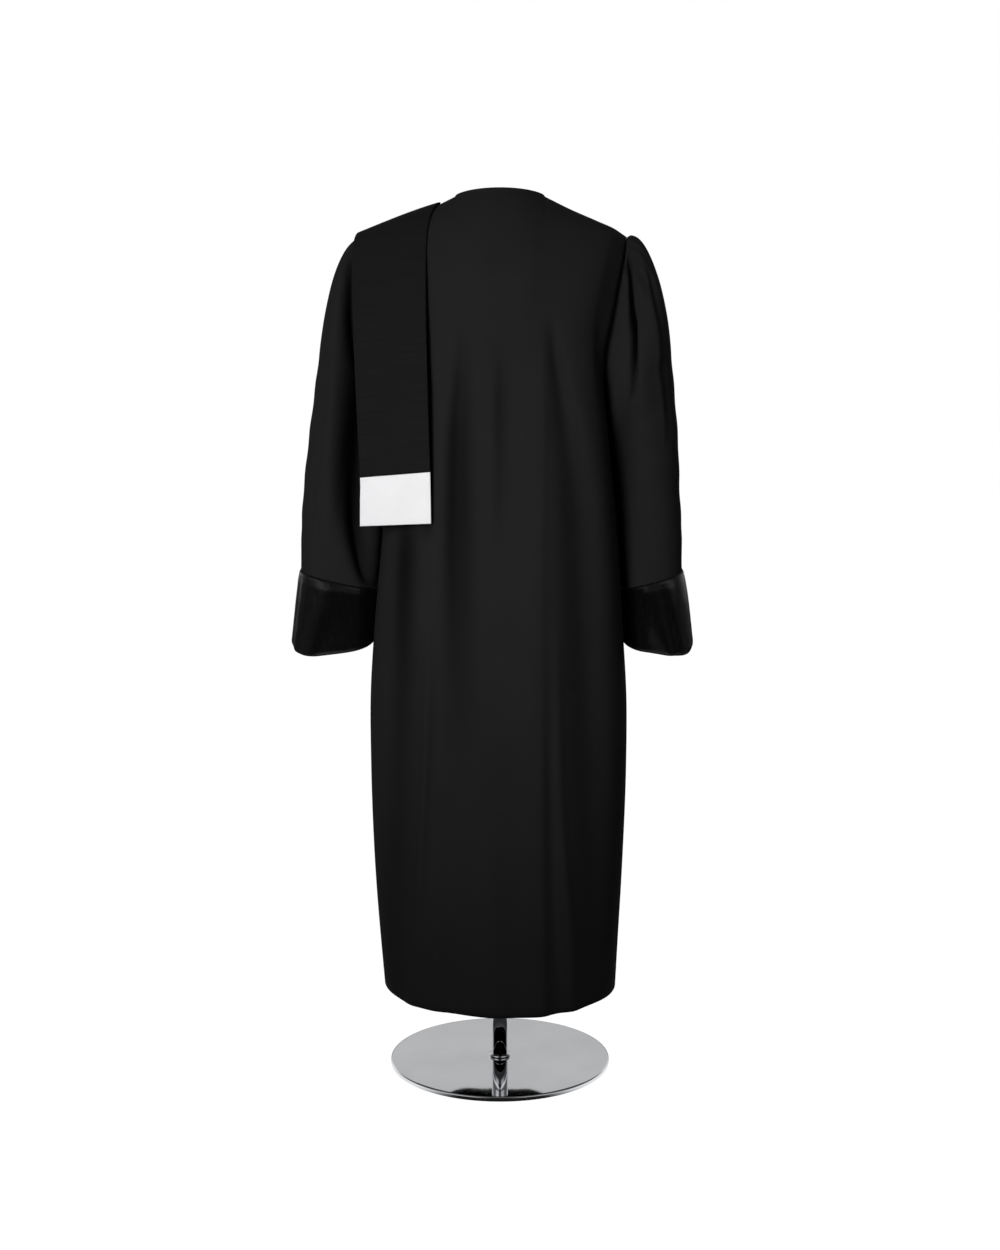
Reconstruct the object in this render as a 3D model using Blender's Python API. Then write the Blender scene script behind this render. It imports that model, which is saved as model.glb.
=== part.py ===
# A lawyer's robe on a limbless dress form with a pole and a round base.
# Metres, +Z up. The robe's back faces +Y, its left side is at +X, the floor is z = 0.

import math

import bpy
import numpy as np

# Cloth and seams
WALL = 0.002
SEAM_GAP = 0.0003

# Body of the robe: level rows from the hem to the underarm
UNDERARM_Z = 1.09
BODY_NAMES = ("z", "centre", "half_width", "back", "front", "power")
BODY_ROWS = (
    (0.132, 0.0000, 0.1890, 0.172, 0.165, 2.00),
    (0.203, 0.0012, 0.1935, 0.170, 0.163, 2.02),
    (0.338, 0.0024, 0.2012, 0.165, 0.158, 2.05),
    (0.503, 0.0024, 0.2062, 0.157, 0.151, 2.10),
    (0.620, 0.0026, 0.2055, 0.152, 0.146, 2.15),
    (0.700, 0.0026, 0.2005, 0.147, 0.142, 2.18),
    (0.830, 0.0012, 0.1900, 0.138, 0.136, 2.22),
    (0.960, 0.0005, 0.1775, 0.129, 0.130, 2.26),
    (1.090, 0.0000, 0.1630, 0.119, 0.124, 2.30),
)
SKIRT_LEVELS = (0.132, 0.165, 0.215, 0.285, 0.365, 0.45, 0.54, 0.63, 0.715, 0.80, 0.88, 0.955, 1.025, 1.09)

# Upper part of the robe, from the underarm (share 0) to shoulder and neck (share 1)
YOKE_SHARES = 14
YOKE_NAMES = ("share", "half_width")
YOKE_ROWS = ((0.0, 0.163), (0.25, 0.161), (0.5, 0.177), (0.75, 0.192), (1.0, 0.199))
SHOULDER_NAMES = ("x", "z")
SHOULDER_ROWS = ((0.070, 1.397), (0.108, 1.3785), (0.155, 1.3585), (0.180, 1.3475), (0.199, 1.335))
NECK_HALF_WIDTH = 0.070
NECK_BACK = {"depth": 0.050, "z": 1.403, "slope": 50, "reach": 0.090}
NECK_FRONT = {"depth": 0.085, "z": 1.335, "slope": 62, "reach": 0.080}
ARMHOLE = {"bulge": 0.068, "rise": 0.030, "from": 0.88}
YOKE_RISE = 0.130
SHOULDER_REACH = 0.60
SHOULDER_LEAD = 0.018

# The hem rises a little towards the side seams
HEM_LIFT = {"left": 0.006, "right": 0.003, "top_z": 0.32}

# Columns of the body, as shares of its half width
NECK_COLUMNS = 4
SHOULDER_COLUMNS = 8

# Folds of the back and the fronts: a path of (z, x, height), height below zero is a valley
FOLD_NAMES = ("z", "x", "height")
FOLD_END = 0.01
BACK_FOLDS = (
    {"half_width": 0.018,
     "path": ((0.62, 0.070, 0.0), (0.88, 0.082, -0.005), (1.02, 0.075, -0.006), (1.20, 0.070, 0.0))},
    {"half_width": 0.015,
     "path": ((0.10, -0.104, -0.007), (0.30, -0.098, -0.012), (0.55, -0.092, -0.010), (0.89, -0.090, -0.010),
              (1.05, -0.082, -0.009), (1.13, -0.088, -0.007), (1.23, -0.073, 0.0))},
    {"half_width": 0.040,
     "path": ((0.10, -0.056, 0.020), (0.50, -0.047, 0.010), (0.90, -0.048, 0.004), (1.05, -0.045, 0.0))},
    {"half_width": 0.012,
     "path": ((0.90, 0.003, 0.0), (1.00, 0.001, -0.003), (1.10, 0.0, -0.003), (1.18, 0.0, 0.0))},
    {"half_width": 0.014,
     "path": ((0.55, 0.172, 0.0), (0.70, 0.170, -0.004), (0.80, 0.163, -0.005), (0.90, 0.158, 0.0))},
    {"half_width": 0.014,
     "path": ((0.10, 0.146, -0.003), (0.30, 0.135, 0.005), (0.67, 0.125, 0.004), (0.86, 0.126, 0.0))},
    {"half_width": 0.030, "path": ((0.10, 0.062, -0.012), (0.30, 0.056, -0.007), (0.55, 0.050, 0.0))},
    {"half_width": 0.014,
     "path": ((0.10, -0.132, 0.006), (0.30, -0.122, 0.005), (0.50, -0.115, 0.004), (0.72, -0.110, 0.0))},
)
FRONT_FOLDS = (
    {"half_width": 0.018,
     "path": ((0.10, 0.108, -0.013), (0.50, 0.100, -0.010), (0.95, 0.088, -0.007), (1.20, 0.080, 0.0))},
    {"half_width": 0.030, "path": ((0.10, 0.066, 0.014), (0.45, 0.062, 0.007), (0.85, 0.058, 0.0))},
    {"half_width": 0.016, "path": ((0.10, 0.150, 0.007), (0.40, 0.142, 0.005), (0.80, 0.130, 0.0))},
    {"half_width": 0.017,
     "path": ((0.10, -0.090, -0.014), (0.55, -0.086, -0.009), (1.00, -0.078, -0.007), (1.18, -0.070, 0.0))},
    {"half_width": 0.028, "path": ((0.10, -0.125, 0.011), (0.45, -0.120, 0.006), (0.80, -0.112, 0.0))},
    {"half_width": 0.016, "path": ((0.10, -0.050, 0.006), (0.40, -0.046, 0.003), (0.70, -0.044, 0.0))},
)

# Front closing: shares of the half width where the fronts end and where the lap starts
LAP_EDGE = 0.075
LAP_RAMP = 0.130
UNDER_LAP = 0.055
BUTTON_SEGMENTS = 16
BUTTON_COUNT = 9
BUTTON_TOP_Z = 1.290
BUTTON_PITCH = 0.118
BUTTON_PROFILE = ((0.0062, 0.0), (0.0075, 0.0008), (0.0075, 0.0024), (0.0066, 0.0032), (0.0048, 0.0028))
BUTTON_STANDOFF = 0.0005

# Sleeves: a ring per row, its outer side, its side against the body, its middle and its squareness
SLEEVE_NAMES = (
    "row", "lateral_z", "left", "right", "medial_z", "left_medial", "right_medial",
    "middle_y", "half_depth", "rear_drop", "power",
)
SLEEVE_ROWS = (
    (1, 1.1770, 0.2832, 0.2692, 1.040, 0.1710, 0.1706, -0.012, 0.070, 0.000, 2.0),
    (2, 1.1000, 0.2947, 0.2775, 0.985, 0.1758, 0.1750, -0.022, 0.070, 0.000, 2.1),
    (3, 1.0200, 0.3062, 0.2850, 0.935, 0.1811, 0.1799, -0.028, 0.069, 0.000, 2.2),
    (4, 0.9400, 0.3157, 0.2889, 0.880, 0.1864, 0.1848, -0.032, 0.067, 0.000, 2.3),
    (5, 0.8700, 0.3205, 0.2933, 0.830, 0.1915, 0.1893, -0.034, 0.064, 0.002, 2.4),
    (6, 0.8150, 0.3220, 0.2943, 0.786, 0.1967, 0.1935, -0.038, 0.061, 0.004, 2.5),
    (7, 0.7750, 0.3253, 0.2997, 0.765, 0.1988, 0.1950, -0.042, 0.059, 0.012, 2.7),
    (8, 0.7380, 0.3298, 0.3045, 0.742, 0.2004, 0.1960, -0.046, 0.057, 0.022, 3.0),
    (9, 0.7020, 0.3350, 0.3100, 0.717, 0.2022, 0.1974, -0.050, 0.056, 0.032, 3.4),
)
CUFF_ROWS = 4
CUFF_GAP = 0.0005
CAP_SHARES = (0.0, 0.10, 0.22, 0.36, 0.52, 0.68, 0.84, 1.0)
CAP = {"left": {"out": 0.046, "up": 0.010}, "right": {"out": 0.027, "up": 0.010}}
CAP_UNDER = {"out": 0.010, "up": -0.010}
CAP_TAIL = {"top": 1.25, "under": 0.35}
# Gathers of the cap, in degrees round from the shoulder and rows down, then the folds of each sleeve
GATHER = {"height": 0.0025, "waves": 14, "spread": 75, "full": 0.4, "start": 0.12, "fade": 0.3, "end": 1.0}
SLEEVE_FOLD_NAMES = ("row", "degrees", "height")
SLEEVE_FOLDS = {
    "left": (
        {"half_width": 15,
         "path": ((0.10, 50, 0.0), (0.5, 66, -0.010), (1.0, 80, -0.013), (2.6, 86, -0.011),
                  (4.2, 96, -0.006), (5.4, 112, 0.0))},
        {"half_width": 14,
         "path": ((0.30, 262, 0.0), (0.9, 272, -0.009), (2.4, 276, -0.007), (4.4, 280, 0.0))},
    ),
    "right": (
        {"half_width": 14,
         "path": ((0.06, 36, 0.0), (0.4, 60, -0.011), (0.9, 86, -0.012), (2.2, 104, -0.006),
                  (3.8, 108, 0.0))},
        {"half_width": 14,
         "path": ((0.25, 268, 0.0), (0.8, 276, -0.009), (2.0, 270, -0.008), (4.0, 268, 0.0))},
    ),
}

# Stole: outer face of the strip, inner edge then outer edge, from its back end to its front end
STOLE_NAMES = ("row", "x_in", "y_in", "z_in", "x_out", "y_out", "z_out", "arch")
STOLE_ROWS = (
    (0, 0.1050, 0.1235, 0.8925, 0.2145, 0.1120, 0.8880, 0.0000),
    (1, 0.1055, 0.1228, 0.9310, 0.2141, 0.1110, 0.9252, 0.0000),
    (2, 0.1061, 0.1218, 0.9710, 0.2138, 0.1098, 0.9622, 0.0000),
    (3, 0.1085, 0.1170, 1.0500, 0.2180, 0.1045, 1.0450, 0.0000),
    (4, 0.1105, 0.1110, 1.1300, 0.2215, 0.0985, 1.1270, 0.0000),
    (5, 0.1118, 0.1045, 1.1900, 0.2240, 0.0920, 1.1880, 0.0005),
    (6, 0.1126, 0.0960, 1.2400, 0.2255, 0.0845, 1.2370, 0.0010),
    (7, 0.1128, 0.0850, 1.2800, 0.2262, 0.0745, 1.2720, 0.0020),
    (8, 0.1124, 0.0728, 1.3130, 0.2268, 0.0630, 1.2990, 0.0035),
    (9, 0.1105, 0.0590, 1.3430, 0.2262, 0.0480, 1.3210, 0.0045),
    (10, 0.1035, 0.0350, 1.3740, 0.2240, 0.0280, 1.3360, 0.0035),
    (11, 0.0930, 0.0000, 1.3890, 0.2225, 0.0000, 1.3415, 0.0020),
    (12, 0.1030, -0.0350, 1.3745, 0.2235, -0.0290, 1.3350, 0.0035),
    (13, 0.1095, -0.0620, 1.3435, 0.2252, -0.0510, 1.3195, 0.0045),
    (14, 0.1110, -0.0785, 1.3080, 0.2255, -0.0680, 1.2950, 0.0030),
    (15, 0.1112, -0.0915, 1.2650, 0.2248, -0.0810, 1.2580, 0.0010),
    (16, 0.1110, -0.1015, 1.2100, 0.2240, -0.0900, 1.2060, 0.0000),
    (17, 0.1105, -0.1085, 1.1400, 0.2228, -0.0960, 1.1380, 0.0000),
    (18, 0.1100, -0.1140, 1.0600, 0.2210, -0.1010, 1.0590, 0.0000),
    (19, 0.1095, -0.1185, 0.9800, 0.2192, -0.1050, 0.9800, 0.0000),
)
BAND_END_ROW = 2
BAND_STEPS = 5
STOLE_ACROSS = 7
STOLE_STEPS = 34
ARCH_SHIFT = 0.7

# Dress form, well inside the robe except along the shoulders
FORM_NAMES = ("z", "half_width", "back", "front")
FORM_ROWS = (
    (0.790, 0.140, 0.092, 0.088),
    (0.798, 0.155, 0.103, 0.098),
    (0.840, 0.161, 0.112, 0.104),
    (0.920, 0.150, 0.107, 0.095),
    (1.000, 0.128, 0.088, 0.084),
    (1.090, 0.143, 0.100, 0.106),
)
FORM_POWER = 2.3
FORM_LEVELS = (0.790, 0.798, 0.815, 0.845, 0.885, 0.925, 0.965, 1.005, 1.048, 1.09)
FORM_SHOULDER_DROP = 0.0036
FORM_TIP = 0.182
FORM_LEAD = 0.010
FORM_SIDE_INSET = 0.014
FORM_RISE_INSET = 0.012
FORM_NECK_HALF_WIDTH = 0.060
FORM_NECK = {"back": 0.038, "front": 0.0495, "z": 1.380, "slope": 55, "reach": 0.070, "blend": 0.6}
FORM_NECK_DIP = {"depth": 0.010, "from": 0.088, "to": 0.062}
FORM_RIDGE = 0.0015
FORM_SHARES = 10
FORM_COLUMNS = 23
FORM_END = 0.97

# Stand
BASE_RADIUS = 0.180
BASE_THICKNESS = 0.008
BASE_EDGE = 0.0015
COLLAR_RADIUS = 0.0175
COLLAR_THICKNESS = 0.004
COLLAR_EDGE = 0.001
POLE_RADIUS = 0.0128
DISC_SEGMENTS = 64
POLE_SEGMENTS = 32


def column(names, rows, name, at):
    """One column of a table, along a smooth curve through its rows."""
    data = np.array(rows, float)
    xs = data[:, 0]
    ys = data[:, names.index(name)]
    slopes = np.gradient(ys, xs)
    at = np.clip(np.asarray(at, float), xs[0], xs[-1])
    i = np.clip(np.searchsorted(xs, at, side="right") - 1, 0, len(xs) - 2)
    h = xs[i + 1] - xs[i]
    u = (at - xs[i]) / h
    start = (2 * u**3 - 3 * u**2 + 1) * ys[i] + (u**3 - 2 * u**2 + u) * h * slopes[i]
    return start + (3 * u**2 - 2 * u**3) * ys[i + 1] + (u**3 - u**2) * h * slopes[i + 1]


def smooth_step(low, high, value):
    u = np.clip((value - low) / (high - low), 0, 1)
    return u * u * (3 - 2 * u)


def mix(a, b, share):
    return a + (b - a) * share


def bezier(p0, p1, p2, p3, t):
    return (1 - t) ** 3 * p0 + 3 * (1 - t) ** 2 * t * p1 + 3 * (1 - t) * t**2 * p2 + t**3 * p3


def section_depth(share, power):
    return np.clip(1 - np.abs(share) ** power, 0, 1) ** (1 / power)


def unit(vectors):
    return vectors / np.maximum(np.linalg.norm(vectors, axis=-1, keepdims=True), 1e-12)


def fold_height(folds, x, z):
    """Sum of the folds at (x, z); each is a soft ridge or valley along its path."""
    total = np.zeros_like(x)
    for fold in folds:
        path = fold["path"]
        middle = column(FOLD_NAMES, path, "x", z)
        height = column(FOLD_NAMES, path, "height", z)
        inside = smooth_step(path[0][0] - FOLD_END, path[0][0], z) * (z <= path[-1][0])
        total += inside * height * np.exp(-(((x - middle) / fold["half_width"]) ** 2))
    return total


def skirt_point(side, share, z):
    x = column(BODY_NAMES, BODY_ROWS, "centre", z) + share * column(BODY_NAMES, BODY_ROWS, "half_width", z)
    depth = column(BODY_NAMES, BODY_ROWS, side, z)
    y = depth * section_depth(share, column(BODY_NAMES, BODY_ROWS, "power", z))
    return x, y, z


def yoke_point(side, share, t):
    """Point between underarm and shoulder or neck, t from 0 to 1 up the column."""
    neck = NECK_BACK if side == "back" else NECK_FRONT
    _, start_y, _ = skirt_point(side, share, UNDERARM_Z)
    top_x = share * SHOULDER_ROWS[-1][0]
    in_neck = np.sqrt(np.clip(1 - (top_x / NECK_HALF_WIDTH) ** 2, 0, 1))
    shoulder_z = column(SHOULDER_NAMES, SHOULDER_ROWS, "z", np.abs(top_x))
    end_y = neck["depth"] * in_neck
    end_z = mix(shoulder_z, neck["z"], in_neck**1.5)
    slope = np.radians(neck["slope"]) * in_neck
    reach = mix(SHOULDER_REACH * start_y + SHOULDER_LEAD, neck["reach"], in_neck)
    at_arm = smooth_step(ARMHOLE["from"], 1, np.abs(share))
    y = bezier(start_y, mix(start_y, ARMHOLE["bulge"], at_arm), end_y + reach * np.cos(slope), end_y, t)
    rise = mix(YOKE_RISE, ARMHOLE["rise"], at_arm)
    z = bezier(UNDERARM_Z, UNDERARM_Z + rise, end_z - reach * np.sin(slope), end_z, t)
    return share * column(YOKE_NAMES, YOKE_ROWS, "half_width", t), y, z


def body_grid(side, shares):
    """Outer face of a body panel: rows from the hem up, columns along the shares."""
    folds = BACK_FOLDS if side == "back" else FRONT_FOLDS
    sign = 1 if side == "back" else -1
    share, level = np.meshgrid(shares, SKIRT_LEVELS)
    lower = np.stack(skirt_point(side, share, level), axis=-1)
    share_up, t = np.meshgrid(shares, np.linspace(0, 1, YOKE_SHARES + 1)[1:])
    upper = np.stack(yoke_point(side, share_up, t), axis=-1)
    grid = np.concatenate((lower, upper))
    share = np.concatenate((share, share_up))
    lift = np.where(share > 0, HEM_LIFT["left"], HEM_LIFT["right"]) * share**4
    grid[:, :, 2] += lift * (1 - smooth_step(BODY_ROWS[0][0], HEM_LIFT["top_z"], grid[:, :, 2]))
    fade = (1 - share**4) * np.concatenate((np.ones_like(level), 1 - smooth_step(0.5, 0.9, t)))
    grid[:, :, 1] += fade * fold_height(folds, grid[:, :, 0], grid[:, :, 2])
    grid[:, :, 1] = sign * (grid[:, :, 1] + SEAM_GAP / 2)
    return grid


def grid_normals(grid, wrap=False, sign=1):
    down = np.gradient(grid, axis=0)
    if wrap:
        across = (np.roll(grid, -1, axis=1) - np.roll(grid, 1, axis=1)) / 2
    else:
        across = np.gradient(grid, axis=1)
    return unit(sign * np.cross(down, across))


def body_normals(side, shares, grid):
    """Outward directions, flat across the side and shoulder seams so both walls end face to face."""
    normals = grid_normals(grid, sign=1 if side == "back" else -1)
    below = len(SKIRT_LEVELS)
    for j in (0, -1):
        if abs(shares[j]) > 0.999:
            normals[:below, j, 1] = 0
    on_shoulder = np.abs(shares) * SHOULDER_ROWS[-1][0] >= NECK_HALF_WIDTH - 1e-6
    normals[-1, on_shoulder, 1] = 0
    return unit(normals)


def body_shares():
    neck = NECK_HALF_WIDTH / SHOULDER_ROWS[-1][0]
    inner = np.linspace(0, neck, NECK_COLUMNS + 1)
    turn = np.linspace(math.asin(neck), math.pi / 2, SHOULDER_COLUMNS + 1)
    half = np.concatenate((inner, np.sin(turn[1:])))
    return np.concatenate((-half[:0:-1], half))


def squared(wave, power):
    """A sine or cosine pushed outward, so that a ring made with it is squarer than an ellipse."""
    return np.sign(wave) * np.abs(wave) ** (2 / power)


def sleeve_ring(hand, row, turn):
    """One ring of a left-side sleeve, from its outer side round by the rear."""
    value = {name: column(SLEEVE_NAMES, SLEEVE_ROWS, name, row) for name in SLEEVE_NAMES[1:]}
    lateral = np.array((value[hand], value["middle_y"], value["lateral_z"]))
    medial = np.array((value[hand + "_medial"], value["middle_y"], value["medial_z"]))
    rear = np.array((0, value["half_depth"], -value["rear_drop"]))
    across = squared(np.cos(turn), value["power"])[:, None]
    behind = squared(np.sin(turn), value["power"])[:, None]
    return (lateral + medial) / 2 + across * (lateral - medial) / 2 + behind * rear


def sleeve_height(hand, row, turn):
    """Height of the folds and gathers round one row of a sleeve."""
    degrees = np.degrees(turn)
    height = np.zeros(len(turn))
    for fold in SLEEVE_FOLDS[hand]:
        path = fold["path"]
        if path[0][0] < row < path[-1][0]:
            middle = column(SLEEVE_FOLD_NAMES, path, "degrees", row)
            size = column(SLEEVE_FOLD_NAMES, path, "height", row)
            height += size * np.exp(-(((degrees - middle) / fold["half_width"]) ** 2))
    from_top = np.minimum(degrees, 360 - degrees) / GATHER["spread"]
    near = 1 - smooth_step(GATHER["full"], 1, from_top)
    near = near * smooth_step(0, GATHER["start"], row)
    near = near * (1 - smooth_step(GATHER["fade"], GATHER["end"], row))
    return height - GATHER["height"] * near * np.cos(GATHER["waves"] * turn)


def sleeve_surface(hand, loop, rows):
    """Sleeve on the left side, rows below 1 on the cap, columns round the armhole loop."""
    steps = np.linalg.norm(np.diff(np.vstack((loop, loop[:1])), axis=0), axis=1)
    turn = 2 * np.pi * np.concatenate(([0], np.cumsum(steps)[:-1])) / steps.sum()
    top = ((1 + np.cos(turn)) / 2)[:, None]
    under = np.array((CAP_UNDER["out"], 0, CAP_UNDER["up"]))
    leave = mix(under, np.array((CAP[hand]["out"], 0, CAP[hand]["up"])), top)
    first = sleeve_ring(hand, 1, turn)
    arrive = (first - sleeve_ring(hand, 2, turn)) * mix(CAP_TAIL["under"], CAP_TAIL["top"], top)
    cap_rows = [row for row in rows if row < 1]
    tube_rows = [row for row in rows if row >= 1]
    cap = [bezier(loop, loop + leave, first + arrive, first, row) for row in cap_rows]
    grid = np.stack(cap + [sleeve_ring(hand, row, turn) for row in tube_rows])
    heights = np.stack([sleeve_height(hand, row, turn) for row in rows])
    return grid + grid_normals(grid, wrap=True) * heights[:, :, None]


def armhole_loop(back, front):
    """Closed loop from the shoulder down the back edge and up the front edge."""
    first = len(SKIRT_LEVELS) - 1
    down = back[first:, -1][::-1]
    up = front[first + 1:-1, -1]
    loop = np.vstack((down, up))
    loop[0, 1] = 0
    loop[len(down) - 1, 1] = 0
    loop[:, 0] += SEAM_GAP
    return loop


def mirror_x(grid):
    return grid * np.array((-1, 1, 1))


def shell(outer, inner, wrap=False):
    """Closed wall between two matching grids."""
    rows, columns = outer.shape[:2]
    points = np.concatenate((outer.reshape(-1, 3), inner.reshape(-1, 3)))
    inner_at = rows * columns
    faces = []
    for i in range(rows - 1):
        for j in range(columns if wrap else columns - 1):
            k = (j + 1) % columns
            quad = (i * columns + j, i * columns + k, (i + 1) * columns + k, (i + 1) * columns + j)
            faces.append(quad)
            faces.append(tuple(inner_at + n for n in reversed(quad)))
    edges = []
    for j in range(columns if wrap else columns - 1):
        k = (j + 1) % columns
        edges.append((k, j))
        edges.append(((rows - 1) * columns + j, (rows - 1) * columns + k))
    if not wrap:
        for i in range(rows - 1):
            edges.append((i * columns, (i + 1) * columns))
            edges.append(((i + 2) * columns - 1, (i + 1) * columns - 1))
    faces += [(a, b, inner_at + b, inner_at + a) for a, b in edges]
    return points, faces


def loft(rings):
    """Closed solid through rings of equal count, each end capped between its two halves."""
    count = len(rings[0])
    points = np.concatenate(rings)
    faces = []
    for i in range(len(rings) - 1):
        for j in range(count):
            k = (j + 1) % count
            faces.append((i * count + j, i * count + k, (i + 1) * count + k, (i + 1) * count + j))
    for base, flip in ((0, True), ((len(rings) - 1) * count, False)):
        for k in range(count // 2 - 1):
            quad = (base + k, base + k + 1, base + count - 2 - k, base + count - 1 - k)
            faces.append(quad[::-1] if flip else quad)
    return points, faces


def turned(profile, segments):
    """Rings of a round solid from (radius, height) pairs."""
    angles = np.arange(segments) * 2 * np.pi / segments
    return [
        np.column_stack((radius * np.cos(angles), radius * np.sin(angles), np.full(segments, height)))
        for radius, height in profile
    ]


def material(name, colour, roughness, metallic=0.0):
    result = bpy.data.materials.new(name)
    result.use_nodes = True
    shader = result.node_tree.nodes["Principled BSDF"]
    shader.inputs["Base Color"].default_value = (*colour, 1)
    shader.inputs["Roughness"].default_value = roughness
    shader.inputs["Metallic"].default_value = metallic
    result.diffuse_color = (*colour, 1)
    return result


def add_piece(collection, name, points, faces, slot):
    mesh = bpy.data.meshes.new(name)
    mesh.from_pydata([tuple(p) for p in points], [], faces)
    mesh.update()
    signed = 0.0
    mesh.calc_loop_triangles()
    for triangle in mesh.loop_triangles:
        a, b, c = (mesh.vertices[v].co for v in triangle.vertices)
        signed += a.dot(b.cross(c))
    if signed < 0:
        mesh.flip_normals()
    for polygon in mesh.polygons:
        polygon.use_smooth = True
    piece = bpy.data.objects.new(name, mesh)
    piece.data.materials.append(slot)
    collection.objects.link(piece)
    return piece


def build_body(collection, slot):
    """Back and fronts; returns the edges for the sleeves and the closing line for the buttons."""
    shares = body_shares()
    back = body_grid("back", shares)
    back_out = body_normals("back", shares, back)
    add_piece(collection, "back", *shell(back, back - WALL * back_out), slot)

    outside_lap = shares[shares > LAP_RAMP]
    left_shares = np.concatenate(((-LAP_EDGE, 0.0, LAP_EDGE, LAP_RAMP), outside_lap))
    right_shares = np.concatenate((-outside_lap[::-1], (-LAP_RAMP, -LAP_EDGE, 0.0, UNDER_LAP)))
    left = body_grid("front", left_shares)
    left_out = body_normals("front", left_shares, left)
    lap = 1 - smooth_step(LAP_EDGE, LAP_RAMP, left_shares)
    left_outer = left + left_out * (lap * (WALL + 2 * SEAM_GAP))[None, :, None]
    add_piece(collection, "front_left", *shell(left_outer, left_outer - WALL * left_out), slot)
    right = body_grid("front", right_shares)
    right_out = body_normals("front", right_shares, right)
    add_piece(collection, "front_right", *shell(right, right - WALL * right_out), slot)
    return back, body_grid("front", shares), left_outer[:, 1], left_out[:, 1]


def build_sleeves(collection, back, front, cloth, satin):
    rows = list(CAP_SHARES) + list(range(2, len(SLEEVE_ROWS) + 1))
    for hand in ("left", "right"):
        if hand == "left":
            loop = armhole_loop(back, front)
        else:
            loop = armhole_loop(mirror_x(back[:, ::-1]), mirror_x(front[:, ::-1]))
        outer = sleeve_surface(hand, loop, rows)
        out = grid_normals(outer, wrap=True)
        from_middle = outer[0] - outer[0].mean(axis=0)
        from_middle[:, 0] = 0
        out[0] = unit(from_middle)
        out[1] = unit(out[0] + out[1])
        inner = outer - WALL * out
        cuff = slice(-CUFF_ROWS, None)
        cuff_inner = outer[cuff] + CUFF_GAP * out[cuff]
        cuff_outer = outer[cuff] + (CUFF_GAP + WALL) * out[cuff]
        if hand == "right":
            outer, inner, cuff_outer, cuff_inner = map(mirror_x, (outer, inner, cuff_outer, cuff_inner))
        add_piece(collection, "sleeve_" + hand, *shell(outer, inner, wrap=True), cloth)
        add_piece(collection, "cuff_" + hand, *shell(cuff_outer, cuff_inner, wrap=True), satin)


def stole_grid(first, last, steps):
    row, across = np.meshgrid(np.linspace(first, last, steps), np.linspace(0, 1, STOLE_ACROSS), indexing="ij")
    value = {name: column(STOLE_NAMES, STOLE_ROWS, name, row) for name in STOLE_NAMES[1:]}
    x = mix(value["x_in"], value["x_out"], across)
    y = mix(value["y_in"], value["y_out"], across)
    z = mix(value["z_in"], value["z_out"], across)
    z = z + value["arch"] * np.sin(np.pi * across**ARCH_SHIFT)
    return np.stack((x, y, z), axis=-1)


def build_stole(collection, cloth, white):
    end = len(STOLE_ROWS) - 1
    z_column = STOLE_NAMES.index("z_in")
    band_row_height = STOLE_ROWS[BAND_END_ROW][z_column] - STOLE_ROWS[BAND_END_ROW - 1][z_column]
    strip_start = BAND_END_ROW + SEAM_GAP / band_row_height
    for name, first, last, steps, slot in (
        ("stole", strip_start, end, STOLE_STEPS, cloth),
        ("stole_band_back", 0, BAND_END_ROW, BAND_STEPS, white),
    ):
        outer = stole_grid(first, last, steps)
        add_piece(collection, name, *shell(outer, outer - WALL * grid_normals(outer)), slot)


def build_buttons(collection, line, out, slot):
    heights = line[:, 2]
    for n in range(BUTTON_COUNT):
        z = BUTTON_TOP_Z - n * BUTTON_PITCH
        middle = np.array([np.interp(z, heights, line[:, k]) for k in range(3)])
        axis = unit(np.array([np.interp(z, heights, out[:, k]) for k in range(3)]))
        across = unit(np.cross((0, 0, 1), axis))
        up = np.cross(axis, across)
        rings = [
            middle + ring[:, :1] * across + ring[:, 1:2] * up + (ring[:, 2:] + BUTTON_STANDOFF) * axis
            for ring in turned(BUTTON_PROFILE, BUTTON_SEGMENTS)
        ]
        add_piece(collection, f"button_{n + 1}", *loft(rings), slot)


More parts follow.
